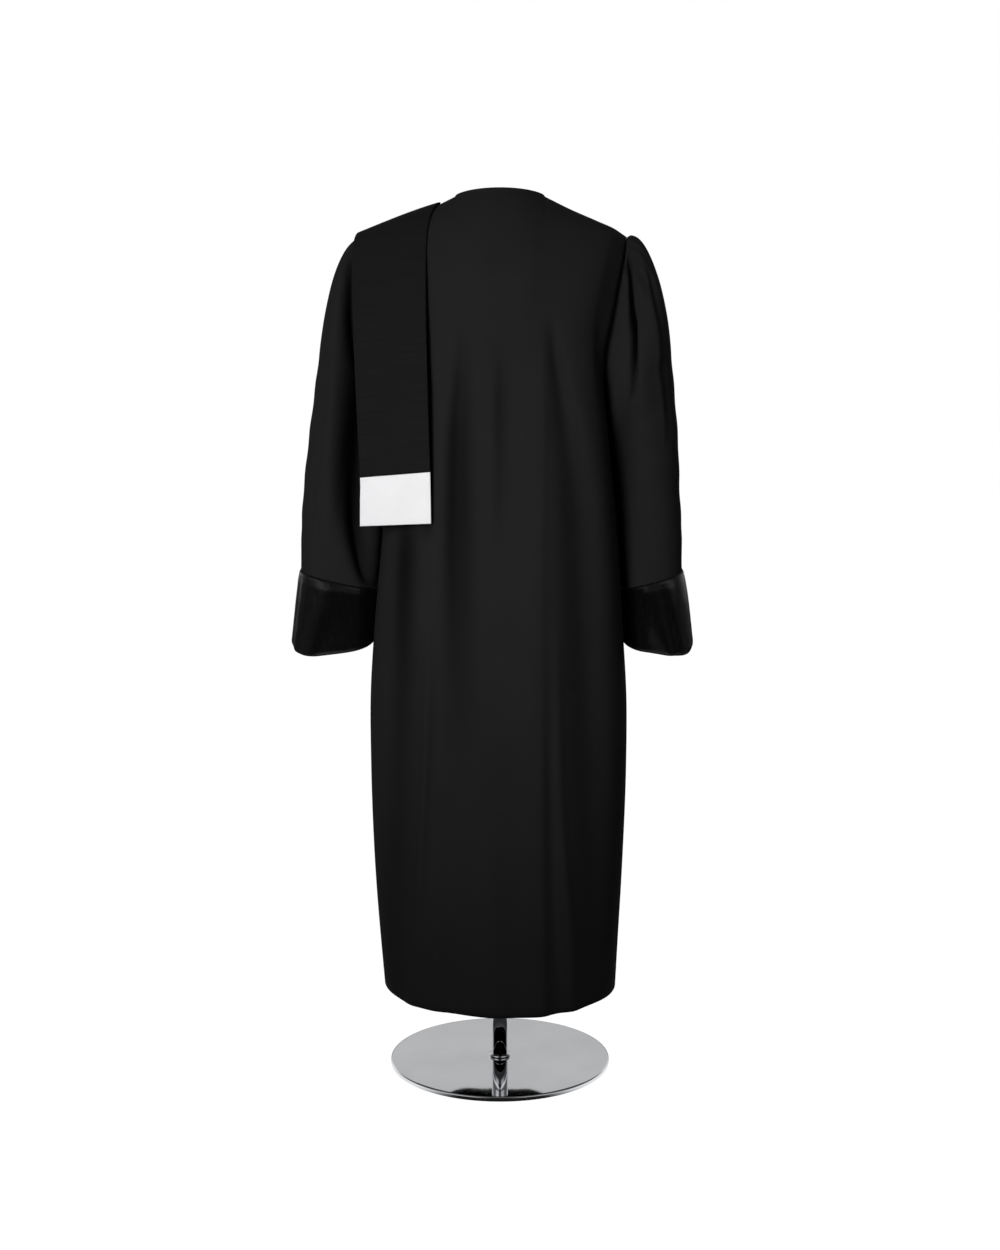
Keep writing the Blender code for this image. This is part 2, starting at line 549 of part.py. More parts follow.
def form_column(share):
    """Closed loop of the form at one share of its width: up the back, over and down the front."""
    level = np.array(FORM_LEVELS)
    value = {name: column(FORM_NAMES, FORM_ROWS, name, level) for name in FORM_NAMES[1:]}
    t = np.linspace(0, 1, FORM_SHARES + 1)[1:]
    top_x = share * FORM_TIP
    in_neck = np.sqrt(np.clip(1 - (top_x / FORM_NECK_HALF_WIDTH) ** 2, 0, 1))
    dip = smooth_step(-FORM_NECK_DIP["from"], -FORM_NECK_DIP["to"], -abs(top_x))
    shoulder_z = column(SHOULDER_NAMES, SHOULDER_ROWS, "z", abs(top_x)) - FORM_SHOULDER_DROP
    shoulder_z -= FORM_NECK_DIP["depth"] * dip
    end_z = mix(shoulder_z, FORM_NECK["z"], smooth_step(0, FORM_NECK["blend"], in_neck))
    slope = np.radians(FORM_NECK["slope"]) * in_neck
    at_arm = smooth_step(ARMHOLE["from"], 1, abs(share))
    rise = mix(YOKE_RISE - FORM_RISE_INSET, ARMHOLE["rise"], at_arm)
    halves = []
    for side, sign in (("back", 1), ("front", -1)):
        deep = section_depth(share, FORM_POWER)
        lower = np.column_stack((share * value["half_width"], value[side] * deep, level))
        start_y = lower[-1, 1]
        end_y = mix(FORM_RIDGE, FORM_NECK[side], in_neck)
        reach = mix(SHOULDER_REACH * start_y + FORM_LEAD, FORM_NECK["reach"], in_neck)
        bulge = mix(start_y, ARMHOLE["bulge"] - FORM_SIDE_INSET, at_arm)
        y = bezier(start_y, bulge, end_y + reach * np.cos(slope), end_y, t)
        z = bezier(UNDERARM_Z, UNDERARM_Z + rise, end_z - reach * np.sin(slope), end_z, t)
        upper = np.column_stack((mix(lower[-1, 0], top_x, t), y, z))
        half = np.concatenate((lower, upper))
        half[:, 1] = sign * np.maximum(half[:, 1], FORM_RIDGE)
        halves.append(half)
    return np.concatenate((halves[0], halves[1][::-1]))


def build_form(collection, slot):
    turns = np.linspace(-FORM_END, FORM_END, FORM_COLUMNS)
    rings = [form_column(math.sin(math.pi / 2 * turn)) for turn in turns]
    add_piece(collection, "form_torso", *loft(rings), slot)


def build_stand(collection, chrome):
    top = BASE_THICKNESS
    base = (
        (BASE_RADIUS - BASE_EDGE, 0.0),
        (BASE_RADIUS, BASE_EDGE),
        (BASE_RADIUS, top - BASE_EDGE),
        (BASE_RADIUS - BASE_EDGE, top),
    )
    add_piece(collection, "base_disc", *loft(turned(base, DISC_SEGMENTS)), chrome)
    low = top + SEAM_GAP
    high = low + COLLAR_THICKNESS
    collar = (
        (COLLAR_RADIUS, low),
        (COLLAR_RADIUS, high - COLLAR_EDGE),
        (COLLAR_RADIUS - COLLAR_EDGE, high),
    )
    add_piece(collection, "pole_collar", *loft(turned(collar, POLE_SEGMENTS)), chrome)
    pole = ((POLE_RADIUS, high + SEAM_GAP), (POLE_RADIUS, FORM_LEVELS[0] - SEAM_GAP))
    add_piece(collection, "pole", *loft(turned(pole, POLE_SEGMENTS)), chrome)


def main():
    for item in list(bpy.data.objects):
        bpy.data.objects.remove(item)
    robe = bpy.data.collections.new("lawyer_robe")
    bpy.context.scene.collection.children.link(robe)
    cloth = material("black_wool", (0.018, 0.018, 0.020), 0.85)
    strip = material("black_rib", (0.014, 0.014, 0.015), 0.75)
    satin = material("black_satin", (0.012, 0.012, 0.013), 0.32)
    white = material("white_cloth", (0.88, 0.88, 0.88), 0.8)
    button = material("black_button", (0.015, 0.015, 0.016), 0.35)
    linen = material("form_cloth", (0.55, 0.52, 0.47), 0.9)
    chrome = material("chrome", (0.75, 0.76, 0.78), 0.12, 1.0)
    back, front, line, out = build_body(robe, cloth)
    build_sleeves(robe, back, front, cloth, satin)
    build_stole(robe, strip, white)
    build_buttons(robe, line, out, button)
    build_form(robe, linen)
    build_stand(robe, chrome)


main()
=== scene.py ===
import math

import bpy
import numpy as np
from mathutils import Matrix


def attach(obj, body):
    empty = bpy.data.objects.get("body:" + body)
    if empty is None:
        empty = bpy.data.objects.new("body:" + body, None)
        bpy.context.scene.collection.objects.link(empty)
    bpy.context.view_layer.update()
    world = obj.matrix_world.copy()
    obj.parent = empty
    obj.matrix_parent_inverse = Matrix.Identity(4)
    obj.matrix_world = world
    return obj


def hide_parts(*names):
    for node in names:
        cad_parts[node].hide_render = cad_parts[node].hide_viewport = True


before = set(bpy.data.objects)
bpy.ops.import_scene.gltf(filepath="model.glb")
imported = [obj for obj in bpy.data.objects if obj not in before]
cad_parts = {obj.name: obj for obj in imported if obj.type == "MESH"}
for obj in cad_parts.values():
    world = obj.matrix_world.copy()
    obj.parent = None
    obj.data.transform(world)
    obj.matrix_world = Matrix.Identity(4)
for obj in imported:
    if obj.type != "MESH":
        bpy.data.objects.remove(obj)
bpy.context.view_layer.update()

# +Z up, the back of the robe faces +Y, the wearer's left is +X; all in metres
seamGap = 0.0003
sewnIn = 0.0001  # how far back and fronts press into each other at their seams
clothWall = 0.0013


# small maths

def along(xs, ys, at):
    # smooth curve through the points of one table column
    xs = np.array(xs, float)
    ys = np.array(ys, float)
    slopes = np.gradient(ys, xs)
    at = np.clip(np.asarray(at, float), xs[0], xs[-1])
    i = np.clip(np.searchsorted(xs, at, side="right") - 1, 0, len(xs) - 2)
    h = xs[i + 1] - xs[i]
    u = (at - xs[i]) / h
    low = (2 * u**3 - 3 * u**2 + 1) * ys[i] + (u**3 - 2 * u**2 + u) * h * slopes[i]
    return low + (3 * u**2 - 2 * u**3) * ys[i + 1] + (u**3 - u**2) * h * slopes[i + 1]


def rowAt(table, names, row):
    # values of several columns at a row, which may lie between two of the table's
    return {name: along(table["row"], table[name], row) for name in names}


def ramp(low, high, value):
    u = np.clip((value - low) / (high - low), 0, 1)
    return u * u * (3 - 2 * u)


def mix(a, b, share):
    return a + (b - a) * share


def bezier(p0, p1, p2, p3, t):
    return (1 - t) ** 3 * p0 + 3 * (1 - t) ** 2 * t * p1 + 3 * (1 - t) * t**2 * p2 + t**3 * p3


def unit(v):
    return v / np.maximum(np.linalg.norm(v, axis=-1, keepdims=True), 1e-12)


def bell(distance, left, right):
    # ridge profile whose two flanks may differ in width
    return np.exp(-((distance / np.where(distance < 0, left, right)) ** 2))


def gridNormals(grid, wrap=False, sign=1):
    down = np.gradient(grid, axis=0)
    if wrap:
        across = (np.roll(grid, -1, axis=1) - np.roll(grid, 1, axis=1)) / 2
    else:
        across = np.gradient(grid, axis=1)
    return unit(sign * np.cross(down, across))


def measured(grid, axis=0):
    # distance along the cloth from its first row or column
    steps = np.linalg.norm(np.diff(grid, axis=axis), axis=-1)
    start = np.zeros_like(steps.take([0], axis=axis))
    return np.concatenate((start, np.cumsum(steps, axis=axis)), axis=axis)


def pointAt(place, places, path):
    # point of a path at a distance along it
    return np.array([np.interp(place, places, path[:, k]) for k in range(3)])


def circle(side, up, count):
    turn = np.arange(count) * 2 * np.pi / count
    return np.cos(turn)[:, None] * side + np.sin(turn)[:, None] * up


# meshes from grids

def meshPiece(name, points, faces, material, uv=None):
    mesh = bpy.data.meshes.new(name)
    mesh.from_pydata(points.tolist(), [], faces)
    mesh.update()
    mesh.calc_loop_triangles()
    corners = np.array([t.vertices[:] for t in mesh.loop_triangles])
    a, b, c = points[corners[:, 0]], points[corners[:, 1]], points[corners[:, 2]]
    if np.einsum("ij,ij->i", a, np.cross(b, c)).sum() < 0:
        mesh.flip_normals()
    mesh.polygons.foreach_set("use_smooth", np.ones(len(mesh.polygons), bool))
    if uv is not None:
        layer = mesh.uv_layers.new(name="cloth")
        loops = np.zeros(len(mesh.loops), int)
        mesh.loops.foreach_get("vertex_index", loops)
        layer.data.foreach_set("uv", uv[loops].ravel())
    piece = bpy.data.objects.new(name, mesh)
    piece.data.materials.append(material)
    bpy.context.scene.collection.objects.link(piece)
    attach(piece, "root")
    return piece


def gridUv(grid):
    # metres across and along the cloth, so a weave keeps its scale
    across = measured(grid, axis=1)
    across -= across.mean(axis=1, keepdims=True)
    return np.stack((across, measured(grid)), axis=-1).reshape(-1, 2)


def wallPiece(name, outer, inner, material, wrap=False):
    # closed wall between two matching grids
    rows, columns = outer.shape[:2]
    count = rows * columns
    index = np.arange(count).reshape(rows, columns)
    right = np.roll(index, -1, axis=1)
    span = columns if wrap else columns - 1
    a, b = index[:-1, :span], right[:-1, :span]
    c, d = right[1:, :span], index[1:, :span]
    faces = [np.stack((a, b, c, d), axis=-1).reshape(-1, 4)]
    faces.append(np.stack((d, c, b, a), axis=-1).reshape(-1, 4) + count)
    rims = [(right[0, :span], index[0, :span]), (index[-1, :span], right[-1, :span])]
    if not wrap:
        rims += [(index[:-1, 0], index[1:, 0]), (index[1:, -1], index[:-1, -1])]
    for start, end in rims:
        faces.append(np.stack((start, end, end + count, start + count), axis=-1))
    points = np.concatenate((outer.reshape(-1, 3), inner.reshape(-1, 3)))
    uv = np.tile(gridUv(outer), (2, 1))
    return meshPiece(name, points, np.concatenate(faces).tolist(), material, uv)


def addHollow(piece, hollow):
    # 0 on open cloth to 1 deep in a fold, on the outer and the inner face alike; on the robe this mask sets
    # painted shade, on the cuffs it marks the duller turned edges
    layer = piece.data.attributes.new("hollow", "FLOAT", "POINT")
    values = np.clip(hollow, 0, 1).ravel()
    layer.data.foreach_set("value", np.concatenate((values, values)))


def solidPiece(name, rings, material):
    # closed solid through rings of equal count
    count = len(rings[0])
    points = np.concatenate(rings)
    faces = []
    for i in range(len(rings) - 1):
        for j in range(count):
            k = (j + 1) % count
            faces.append((i * count + j, i * count + k, (i + 1) * count + k, (i + 1) * count + j))
    last = (len(rings) - 1) * count
    for k in range(count // 2 - 1):
        faces.append((count - 1 - k, count - 2 - k, k + 1, k))
        faces.append((last + k, last + k + 1, last + count - 2 - k, last + count - 1 - k))
    return meshPiece(name, points, faces, material)


def turned(profile, segments):
    angles = np.arange(segments) * 2 * np.pi / segments
    return [
        np.column_stack((r * np.cos(angles), r * np.sin(angles), np.full(segments, h)))
        for r, h in profile
    ]


def mirrorX(grid):
    return grid * np.array((-1, 1, 1))


def stitchRow(name, path, out, material, stitch):
    # short rounded threads laid end to end along a path, half sunk in the cloth
    at = measured(path)
    count = max(1, int(at[-1] / (stitch["length"] + stitch["space"])))
    rings = []
    faces = []
    sides = 6
    near = 0.0005
    profile = ((0.0, 0.25), (0.12, 0.8), (0.5, 1.0), (0.88, 0.8), (1.0, 0.25))
    for n in range(count):
        start = (n + 0.5) * at[-1] / count - stitch["length"] / 2
        base = len(rings) * sides
        for share, width in profile:
            s = start + share * stitch["length"]
            axis = unit(pointAt(s + near, at, path) - pointAt(s - near, at, path))
            side = unit(np.cross(axis, pointAt(s, at, out)))
            up = np.cross(side, axis)
            lift = stitch["radius"] * (math.sin(math.pi * share) * 0.9 - 0.2)
            around = width * stitch["radius"] * circle(side, up, sides)
            rings.append(pointAt(s, at, path) + lift * up + around)
        for i in range(len(profile) - 1):
            for j in range(sides):
                k = (j + 1) % sides
                a = base + i * sides
                faces.append((a + j, a + k, a + sides + k, a + sides + j))
        end = base + (len(profile) - 1) * sides
        faces.append(tuple(base + j for j in reversed(range(sides))))
        faces.append(tuple(end + j for j in range(sides)))
    return meshPiece(name, np.concatenate(rings), faces, material)


# materials

def newGroup(name, inputs, outputs):
    group = bpy.data.node_groups.new(name, "ShaderNodeTree")
    for label, value in inputs.items():
        socket = group.interface.new_socket(label, in_out="INPUT", socket_type="NodeSocketFloat")
        socket.default_value = value
    for label in outputs:
        group.interface.new_socket(label, in_out="OUTPUT", socket_type="NodeSocketFloat")
    given = group.nodes.new("NodeGroupInput").outputs
    return group, given, group.nodes.new("NodeGroupOutput").inputs


def mathNode(tree, operation, first, second=None, third=None):
    node = tree.nodes.new("ShaderNodeMath")
    node.operation = operation
    for socket, value in zip(node.inputs, (first, second, third)):
        if value is None:
            continue
        if isinstance(value, (int, float)):
            socket.default_value = value
        else:
            tree.links.new(value, socket)
    return node.outputs[0]


def newCoords(tree, kind):
    # texture coordinates, and the x, y and z of one of them
    coords = tree.nodes.new("ShaderNodeTexCoord")
    split = tree.nodes.new("ShaderNodeSeparateXYZ")
    tree.links.new(coords.outputs[kind], split.inputs[0])
    return coords.outputs, tuple(split.outputs)


def noiseNode(tree, vector, scale, detail):
    node = tree.nodes.new("ShaderNodeTexNoise")
    node.inputs["Scale"].default_value = scale
    node.inputs["Detail"].default_value = detail
    tree.links.new(vector, node.inputs["Vector"])
    return node.outputs["Fac"]


def stretch(tree, value, low, high, toLow=0.0, toHigh=1.0, kind="SMOOTHSTEP"):
    node = tree.nodes.new("ShaderNodeMapRange")
    node.interpolation_type = kind
    tree.links.new(value, node.inputs["Value"])
    for label, number in (("From Min", low), ("From Max", high), ("To Min", toLow), ("To Max", toHigh)):
        node.inputs[label].default_value = number
    return node.outputs[0]


def mixColours(tree, factor, first, second):
    node = tree.nodes.new("ShaderNodeMix")
    node.data_type = "RGBA"
    tree.links.new(factor, node.inputs[0])
    for socket, colour in ((node.inputs[6], first), (node.inputs[7], second)):
        if isinstance(colour, tuple):
            socket.default_value = (*colour, 1)
        else:
            tree.links.new(colour, socket)
    return node.outputs[2]


def groupNode(tree, group, values):
    node = tree.nodes.new("ShaderNodeGroup")
    node.node_tree = group
    for label, value in values.items():
        node.inputs[label].default_value = value
    return node.outputs


def hollowMark(tree):
    # the mask that darkens the robe's folds with painted shade and dulls the satin's edges
    node = tree.nodes.new("ShaderNodeAttribute")
    node.attribute_name = "hollow"
    return node.outputs["Fac"]


def sineWave(tree, value, pitch):
    turns = mathNode(tree, "DIVIDE", value, pitch)
    return mathNode(tree, "SINE", mathNode(tree, "MULTIPLY", turns, 2 * math.pi))


def buildWeaveGroup():
    # height of crossing threads, with slubs; pitches in metres on the cloth map
    tree, given, result = newGroup(
        "clothWeave", {"Across Pitch": 0.0006, "Along Pitch": 0.0006, "Slub": 0.3}, ("Height", "Mottle"),
    )
    coords, parts = newCoords(tree, "UV")
    waves = [sineWave(tree, parts[n], given[n]) for n in (0, 1)]
    crossing = mathNode(tree, "MULTIPLY", *waves)
    slub = mathNode(tree, "MULTIPLY", noiseNode(tree, coords["UV"], 900, 3), given["Slub"])
    tree.links.new(mathNode(tree, "MULTIPLY_ADD", crossing, 0.5, slub), result["Height"])
    tree.links.new(noiseNode(tree, coords["UV"], 14, 5), result["Mottle"])
    return tree


def buildRibGroup():
    # ribs across the cloth with an uneven thread tension along each
    tree, given, result = newGroup("crossRib", {"Pitch": 0.0016, "Streak": 0.4}, ("Height", "Streaks"))
    coords, parts = newCoords(tree, "UV")
    drawn = tree.nodes.new("ShaderNodeMapping")
    drawn.inputs["Scale"].default_value = (12, 420, 1)
    tree.links.new(coords["UV"], drawn.inputs["Vector"])
    streaks = noiseNode(tree, drawn.outputs[0], 1, 4)
    uneven = mathNode(tree, "MULTIPLY", streaks, given["Streak"])
    ribs = sineWave(tree, parts[1], given["Pitch"])
    tree.links.new(mathNode(tree, "MULTIPLY_ADD", ribs, 0.5, uneven), result["Height"])
    tree.links.new(streaks, result["Streaks"])
    return tree


def buildBrushGroup():
    # fine streaks along the cloth and soft smudges
    tree, given, result = newGroup("fineStreaks", {"Across": 900.0, "Along": 12.0}, ("Streaks", "Smudge"))
    coords, parts = newCoords(tree, "UV")
    joined = tree.nodes.new("ShaderNodeCombineXYZ")
    for n in (0, 1):
        tree.links.new(mathNode(tree, "MULTIPLY", parts[n], given[n]), joined.inputs[n])
    tree.links.new(noiseNode(tree, joined.outputs[0], 1, 3), result["Streaks"])
    tree.links.new(noiseNode(tree, coords["Object"], 9, 4), result["Smudge"])
    return tree


def newMaterial(name, look):
    material = bpy.data.materials.new(name)
    material.use_nodes = True
    tree = material.node_tree
    shader = tree.nodes["Principled BSDF"]
    shader.inputs["Base Color"].default_value = (*look["dark"], 1)
    shader.inputs["Roughness"].default_value = look["roughness"]
    shader.inputs["Metallic"].default_value = look.get("metallic", 0.0)
    shader.inputs["Specular IOR Level"].default_value = look.get("specular", 0.5)
    shader.inputs["Sheen Weight"].default_value = look.get("sheen", 0.0)
    return material, tree, shader


def finishCloth(tree, shader, mask, height, look):
    # colour and roughness vary with the mask, and the height gives the relief
    colour = mixColours(tree, stretch(tree, mask, 0.3, 0.7, kind="LINEAR"), look["dark"], look["light"])
    if "hollow" in look:
        # painted shade: the colour darkens deep in a fold, where the shade falls
        colour = mixColours(tree, hollowMark(tree), colour, look["hollow"])
    tree.links.new(colour, shader.inputs["Base Color"])
    smooth = look["roughness"] - look["roughnessSpread"]
    rough = look["roughness"] + look["roughnessSpread"]
    roughness = stretch(tree, mask, 0.3, 0.7, smooth, rough, "LINEAR")
    tree.links.new(roughness, shader.inputs["Roughness"])
    bump = tree.nodes.new("ShaderNodeBump")
    bump.inputs["Strength"].default_value = look["bump"]
    bump.inputs["Distance"].default_value = look["bumpDepth"]
    tree.links.new(height, bump.inputs["Height"])
    tree.links.new(bump.outputs[0], shader.inputs["Normal"])
    return roughness


weaveGroup = buildWeaveGroup()
ribGroup = buildRibGroup()
brushGroup = buildBrushGroup()

cloths = {
    "robeCloth": {
        # hollow is the painted shade colour deep in the folds
        "dark": (0.0161, 0.0161, 0.0161), "light": (0.0175, 0.0175, 0.0175), "hollow": (0.001, 0.001, 0.001),
        "roughness": 0.9, "roughnessSpread": 0.05, "specular": 0.04,
        "pitch": 0.0011, "slub": 0.5, "bump": 0.25, "bumpDepth": 0.0003,
    },
    "bandCloth": {
        "dark": (0.86, 0.86, 0.87), "light": (0.93, 0.93, 0.94),
        "roughness": 0.85, "roughnessSpread": 0.05, "specular": 0.3, "sheen": 0.1,
        "pitch": 0.0012, "slub": 0.6, "bump": 0.35, "bumpDepth": 0.0004,
    },
    "formCloth": {
        "dark": (0.52, 0.47, 0.39), "light": (0.62, 0.57, 0.49),
        "roughness": 0.9, "roughnessSpread": 0.04, "specular": 0.2, "sheen": 0.1,
        "pitch": 0.0015, "slub": 0.8, "bump": 0.4, "bumpDepth": 0.0004,
    },
}


def clothMaterial(name):
    look = cloths[name]
    material, tree, shader = newMaterial(name, look)
    threads = {"Across Pitch": look["pitch"], "Along Pitch": look["pitch"], "Slub": look["slub"]}
    weave = groupNode(tree, weaveGroup, threads)
    finishCloth(tree, shader, weave["Mottle"], weave["Height"], look)
    return material


stripLook = {
    "dark": (0.0100, 0.0100, 0.0100), "light": (0.0128, 0.0128, 0.0128),
    "roughness": 0.85, "roughnessSpread": 0.08, "specular": 0.06,
    "pitch": 0.0022, "streak": 0.7, "bump": 0.45, "bumpDepth": 0.0005,
}


def stripMaterial():
    material, tree, shader = newMaterial("stripCloth", stripLook)
    ribs = groupNode(tree, ribGroup, {"Pitch": stripLook["pitch"], "Streak": stripLook["streak"]})
    finishCloth(tree, shader, ribs["Streaks"], ribs["Height"], stripLook)
    return material


satinLook = {
    "dark": (0.0012, 0.0012, 0.0014), "light": (0.0022, 0.0022, 0.0025),
    "roughness": 0.31, "roughnessSpread": 0.05, "specular": 0.55, "anisotropic": 0.35,
    "bump": 0.5, "bumpDepth": 0.0001, "streaks": {"Across": 1500.0, "Along": 25.0},
    "wrinkles": {"Across": 70.0, "Along": 22.0}, "wrinkleShare": 22.0,
}


def satinMaterial():
    material, tree, shader = newMaterial("cuffSatin", satinLook)
    shader.inputs["Anisotropic"].default_value = satinLook["anisotropic"]
    streaks = groupNode(tree, brushGroup, satinLook["streaks"])["Streaks"]
    wrinkles = groupNode(tree, brushGroup, satinLook["wrinkles"])["Streaks"]
    relief = mathNode(tree, "MULTIPLY_ADD", wrinkles, satinLook["wrinkleShare"], streaks)
    roughness = finishCloth(tree, shader, streaks, relief, satinLook)
    # pressed dull along the turned edges
    dull = mathNode(tree, "MAXIMUM", roughness, hollowMark(tree))
    tree.links.new(dull, shader.inputs["Roughness"])
    return material


chromeLook = {
    "dark": (0.66, 0.67, 0.69), "light": (0.74, 0.75, 0.77), "metallic": 1.0,
    "roughness": 0.045, "roughnessSpread": 0.012, "bump": 0.01, "bumpDepth": 0.0001,
}
buttonLook = {
    "dark": (0.010, 0.010, 0.011), "light": (0.018, 0.018, 0.019),
    "roughness": 0.3, "roughnessSpread": 0.06, "bump": 0.05, "bumpDepth": 0.0002,
}
threadLook = {
    "dark": (0.008, 0.008, 0.0084), "light": (0.013, 0.013, 0.0136), "specular": 0.1,
    "roughness": 0.8, "roughnessSpread": 0.08, "bump": 0.3, "bumpDepth": 0.0002,
}
whiteThreadLook = dict(threadLook, dark=(0.72, 0.72, 0.73), light=(0.86, 0.86, 0.87))


def smudgedMaterial(name, look):
    material, tree, shader = newMaterial(name, look)
    smudge = groupNode(tree, brushGroup, {})["Smudge"]
    finishCloth(tree, shader, smudge, smudge, look)
    return material


robeCloth = clothMaterial("robeCloth")
bandCloth = clothMaterial("bandCloth")
formCloth = clothMaterial("formCloth")
stripCloth = stripMaterial()
cuffSatin = satinMaterial()
chrome = smudgedMaterial("standChrome", chromeLook)
buttonPlastic = smudgedMaterial("buttonPlastic", buttonLook)
blackThread = smudgedMaterial("blackThread", threadLook)
whiteThread = smudgedMaterial("whiteThread", whiteThreadLook)
print("materials made")


# body of the robe

body = {
    "z": (0.132, 0.203, 0.338, 0.503, 0.620, 0.700, 0.830, 0.960, 1.090),
    "centre": (0.0, 0.0012, 0.0024, 0.0024, 0.0026, 0.0026, 0.0012, 0.0005, 0.0),
    "halfWidth": (0.1890, 0.1935, 0.2012, 0.2062, 0.2055, 0.2005, 0.1900, 0.1775, 0.1630),
    "back": (0.172, 0.170, 0.165, 0.157, 0.152, 0.147, 0.138, 0.129, 0.119),
    "front": (0.165, 0.163, 0.158, 0.151, 0.146, 0.142, 0.136, 0.130, 0.124),
    "power": (2.00, 2.02, 2.05, 2.10, 2.15, 2.18, 2.22, 2.26, 2.30),
    "rightPower": (0.15, 0.18, 0.25, 0.32, 0.36, 0.42, 0.70, 1.05, 1.25),
    "yokeShare": (0.0, 0.25, 0.5, 0.75, 1.0),
    "yokeHalfWidth": (0.163, 0.161, 0.177, 0.192, 0.199),
    "shoulderX": (0.070, 0.108, 0.155, 0.180, 0.199),
    "shoulderZ": (1.397, 1.3785, 1.3585, 1.3475, 1.335),
    "yokeRise": 0.130, "shoulderReach": 0.60, "shoulderLead": 0.018,
    "armBulge": 0.068, "armRise": 0.030, "armFrom": 0.88,
    "skirtRows": 108, "yokeRows": 58, "neckColumns": 32, "shoulderColumns": 86,
    "hemHeight": 0.030, "hemWall": 0.0024, "hemLift": {"left": 0.006, "right": 0.003}, "liftTop": 0.32,
    "evenReach": 9, "evenBelow": (0.70, 1.0), "evenWithin": (0.55, 0.75),
}
neckHalfWidth = body["shoulderX"][0]
tipX = body["shoulderX"][-1]
neck = {
    "back": {"depth": 0.050, "z": 1.403, "slope": 50, "reach": 0.090},
    "front": {"depth": 0.085, "z": 1.335, "slope": 62, "reach": 0.080},
}
underarmZ = body["z"][-1]

# Folds as a path of (z, x, height, spread), where a height below zero is a valley; left and right are the
# widths of its flanks, and shade is how far the cloth darkens in it
backFolds = (
    # valley left of the middle, from the shoulder blade down
    {"shade": 0.55, "left": 0.020, "right": 0.016, "path": (
        (0.46, 0.052, 0.0, 1.3), (0.62, 0.058, -0.007, 1.3), (0.78, 0.064, -0.014, 1.1),
        (0.93, 0.064, -0.018, 1.0), (1.04, 0.062, -0.015, 0.85), (1.13, 0.057, -0.007, 0.7),
        (1.20, 0.053, 0.0, 0.6),
    )},
    # main fold on the right: narrow at its top, a wide slope lower down
    {"shade": 0.22, "left": 0.032, "right": 0.031, "path": (
        (0.10, -0.152, -0.006, 0.9), (0.30, -0.150, -0.011, 0.9), (0.47, -0.145, -0.018, 1.0),
        (0.70, -0.134, -0.024, 1.0), (0.85, -0.127, -0.025, 0.97), (0.93, -0.121, -0.023, 0.88),
        (1.00, -0.110, -0.019, 0.72), (1.08, -0.096, -0.0145, 0.50), (1.14, -0.086, -0.0105, 0.36),
        (1.21, -0.078, 0.0, 0.28),
    )},
    # its brow, and the thin crest that runs down the slope
    {"left": 0.009, "right": 0.030, "path": (
        (0.10, -0.066, 0.006, 1.3), (0.45, -0.064, 0.004, 1.0), (0.80, -0.062, 0.003, 1.0),
        (1.05, -0.064, 0.003, 1.0), (1.22, -0.060, 0.0, 1.0),
    )},
    {"left": 0.007, "right": 0.007, "path": (
        (0.10, -0.119, 0.004, 1.5), (0.24, -0.112, 0.004, 1.3), (0.37, -0.101, 0.0036, 1.0),
        (0.47, -0.094, 0.0034, 1.0), (0.62, -0.090, 0.0024, 1.0), (0.74, -0.087, 0.0, 1.0),
    )},
    {"left": 0.007, "right": 0.009, "path": (
        (0.10, -0.094, -0.003, 1.5), (0.30, -0.083, -0.003, 1.2), (0.47, -0.078, -0.0028, 1.0),
        (0.66, -0.075, 0.0, 1.0),
    )},
    {"shade": 0.25, "left": 0.011, "right": 0.010, "path": (
        (0.84, -0.002, 0.0, 1.0), (0.96, -0.003, -0.0030, 1.0), (1.09, -0.003, -0.0042, 0.9),
        (1.17, -0.002, 0.0, 0.8),
    )},
    # below the band: valley, thin crest and the soft slope beside it
    {"shade": 0.65, "left": 0.018, "right": 0.014, "path": (
        (0.10, 0.170, -0.003, 1.0), (0.31, 0.166, -0.005, 1.1), (0.47, 0.159, -0.007, 1.1),
        (0.62, 0.154, -0.010, 1.0), (0.78, 0.151, -0.016, 0.9), (0.86, 0.148, -0.016, 0.9),
        (0.94, 0.146, 0.0, 0.8),
    )},
    {"left": 0.008, "right": 0.006, "path": (
        (0.10, 0.146, 0.006, 1.8), (0.18, 0.138, 0.008, 1.6), (0.31, 0.128, 0.009, 1.2),
        (0.47, 0.119, 0.009, 1.1), (0.66, 0.112, 0.006, 1.3), (0.78, 0.110, 0.0, 1.4),
    )},
    {"left": 0.030, "right": 0.020, "path": (
        (0.10, 0.078, -0.006, 1.0), (0.30, 0.074, -0.005, 1.0), (0.52, 0.072, -0.003, 1.0),
        (0.70, 0.070, 0.0, 1.0),
    )},
    # hollow beside the stole's inner edge, where the stole casts its shadow and painted shade darkens it
    # further
    {"shade": 1.0, "left": 0.006, "right": 0.012, "path": (
        (0.86, 0.110, 0.0, 1.0), (0.91, 0.110, -0.008, 1.0), (1.00, 0.111, -0.011, 1.0),
        (1.08, 0.112, -0.011, 1.0), (1.16, 0.114, -0.006, 0.9), (1.22, 0.115, 0.0, 0.8),
    )},
    {"left": 0.020, "right": 0.022, "path": (
        (0.10, 0.006, 0.003, 1.0), (0.32, 0.010, 0.002, 1.0), (0.50, 0.014, 0.0, 1.0),
    )},
)
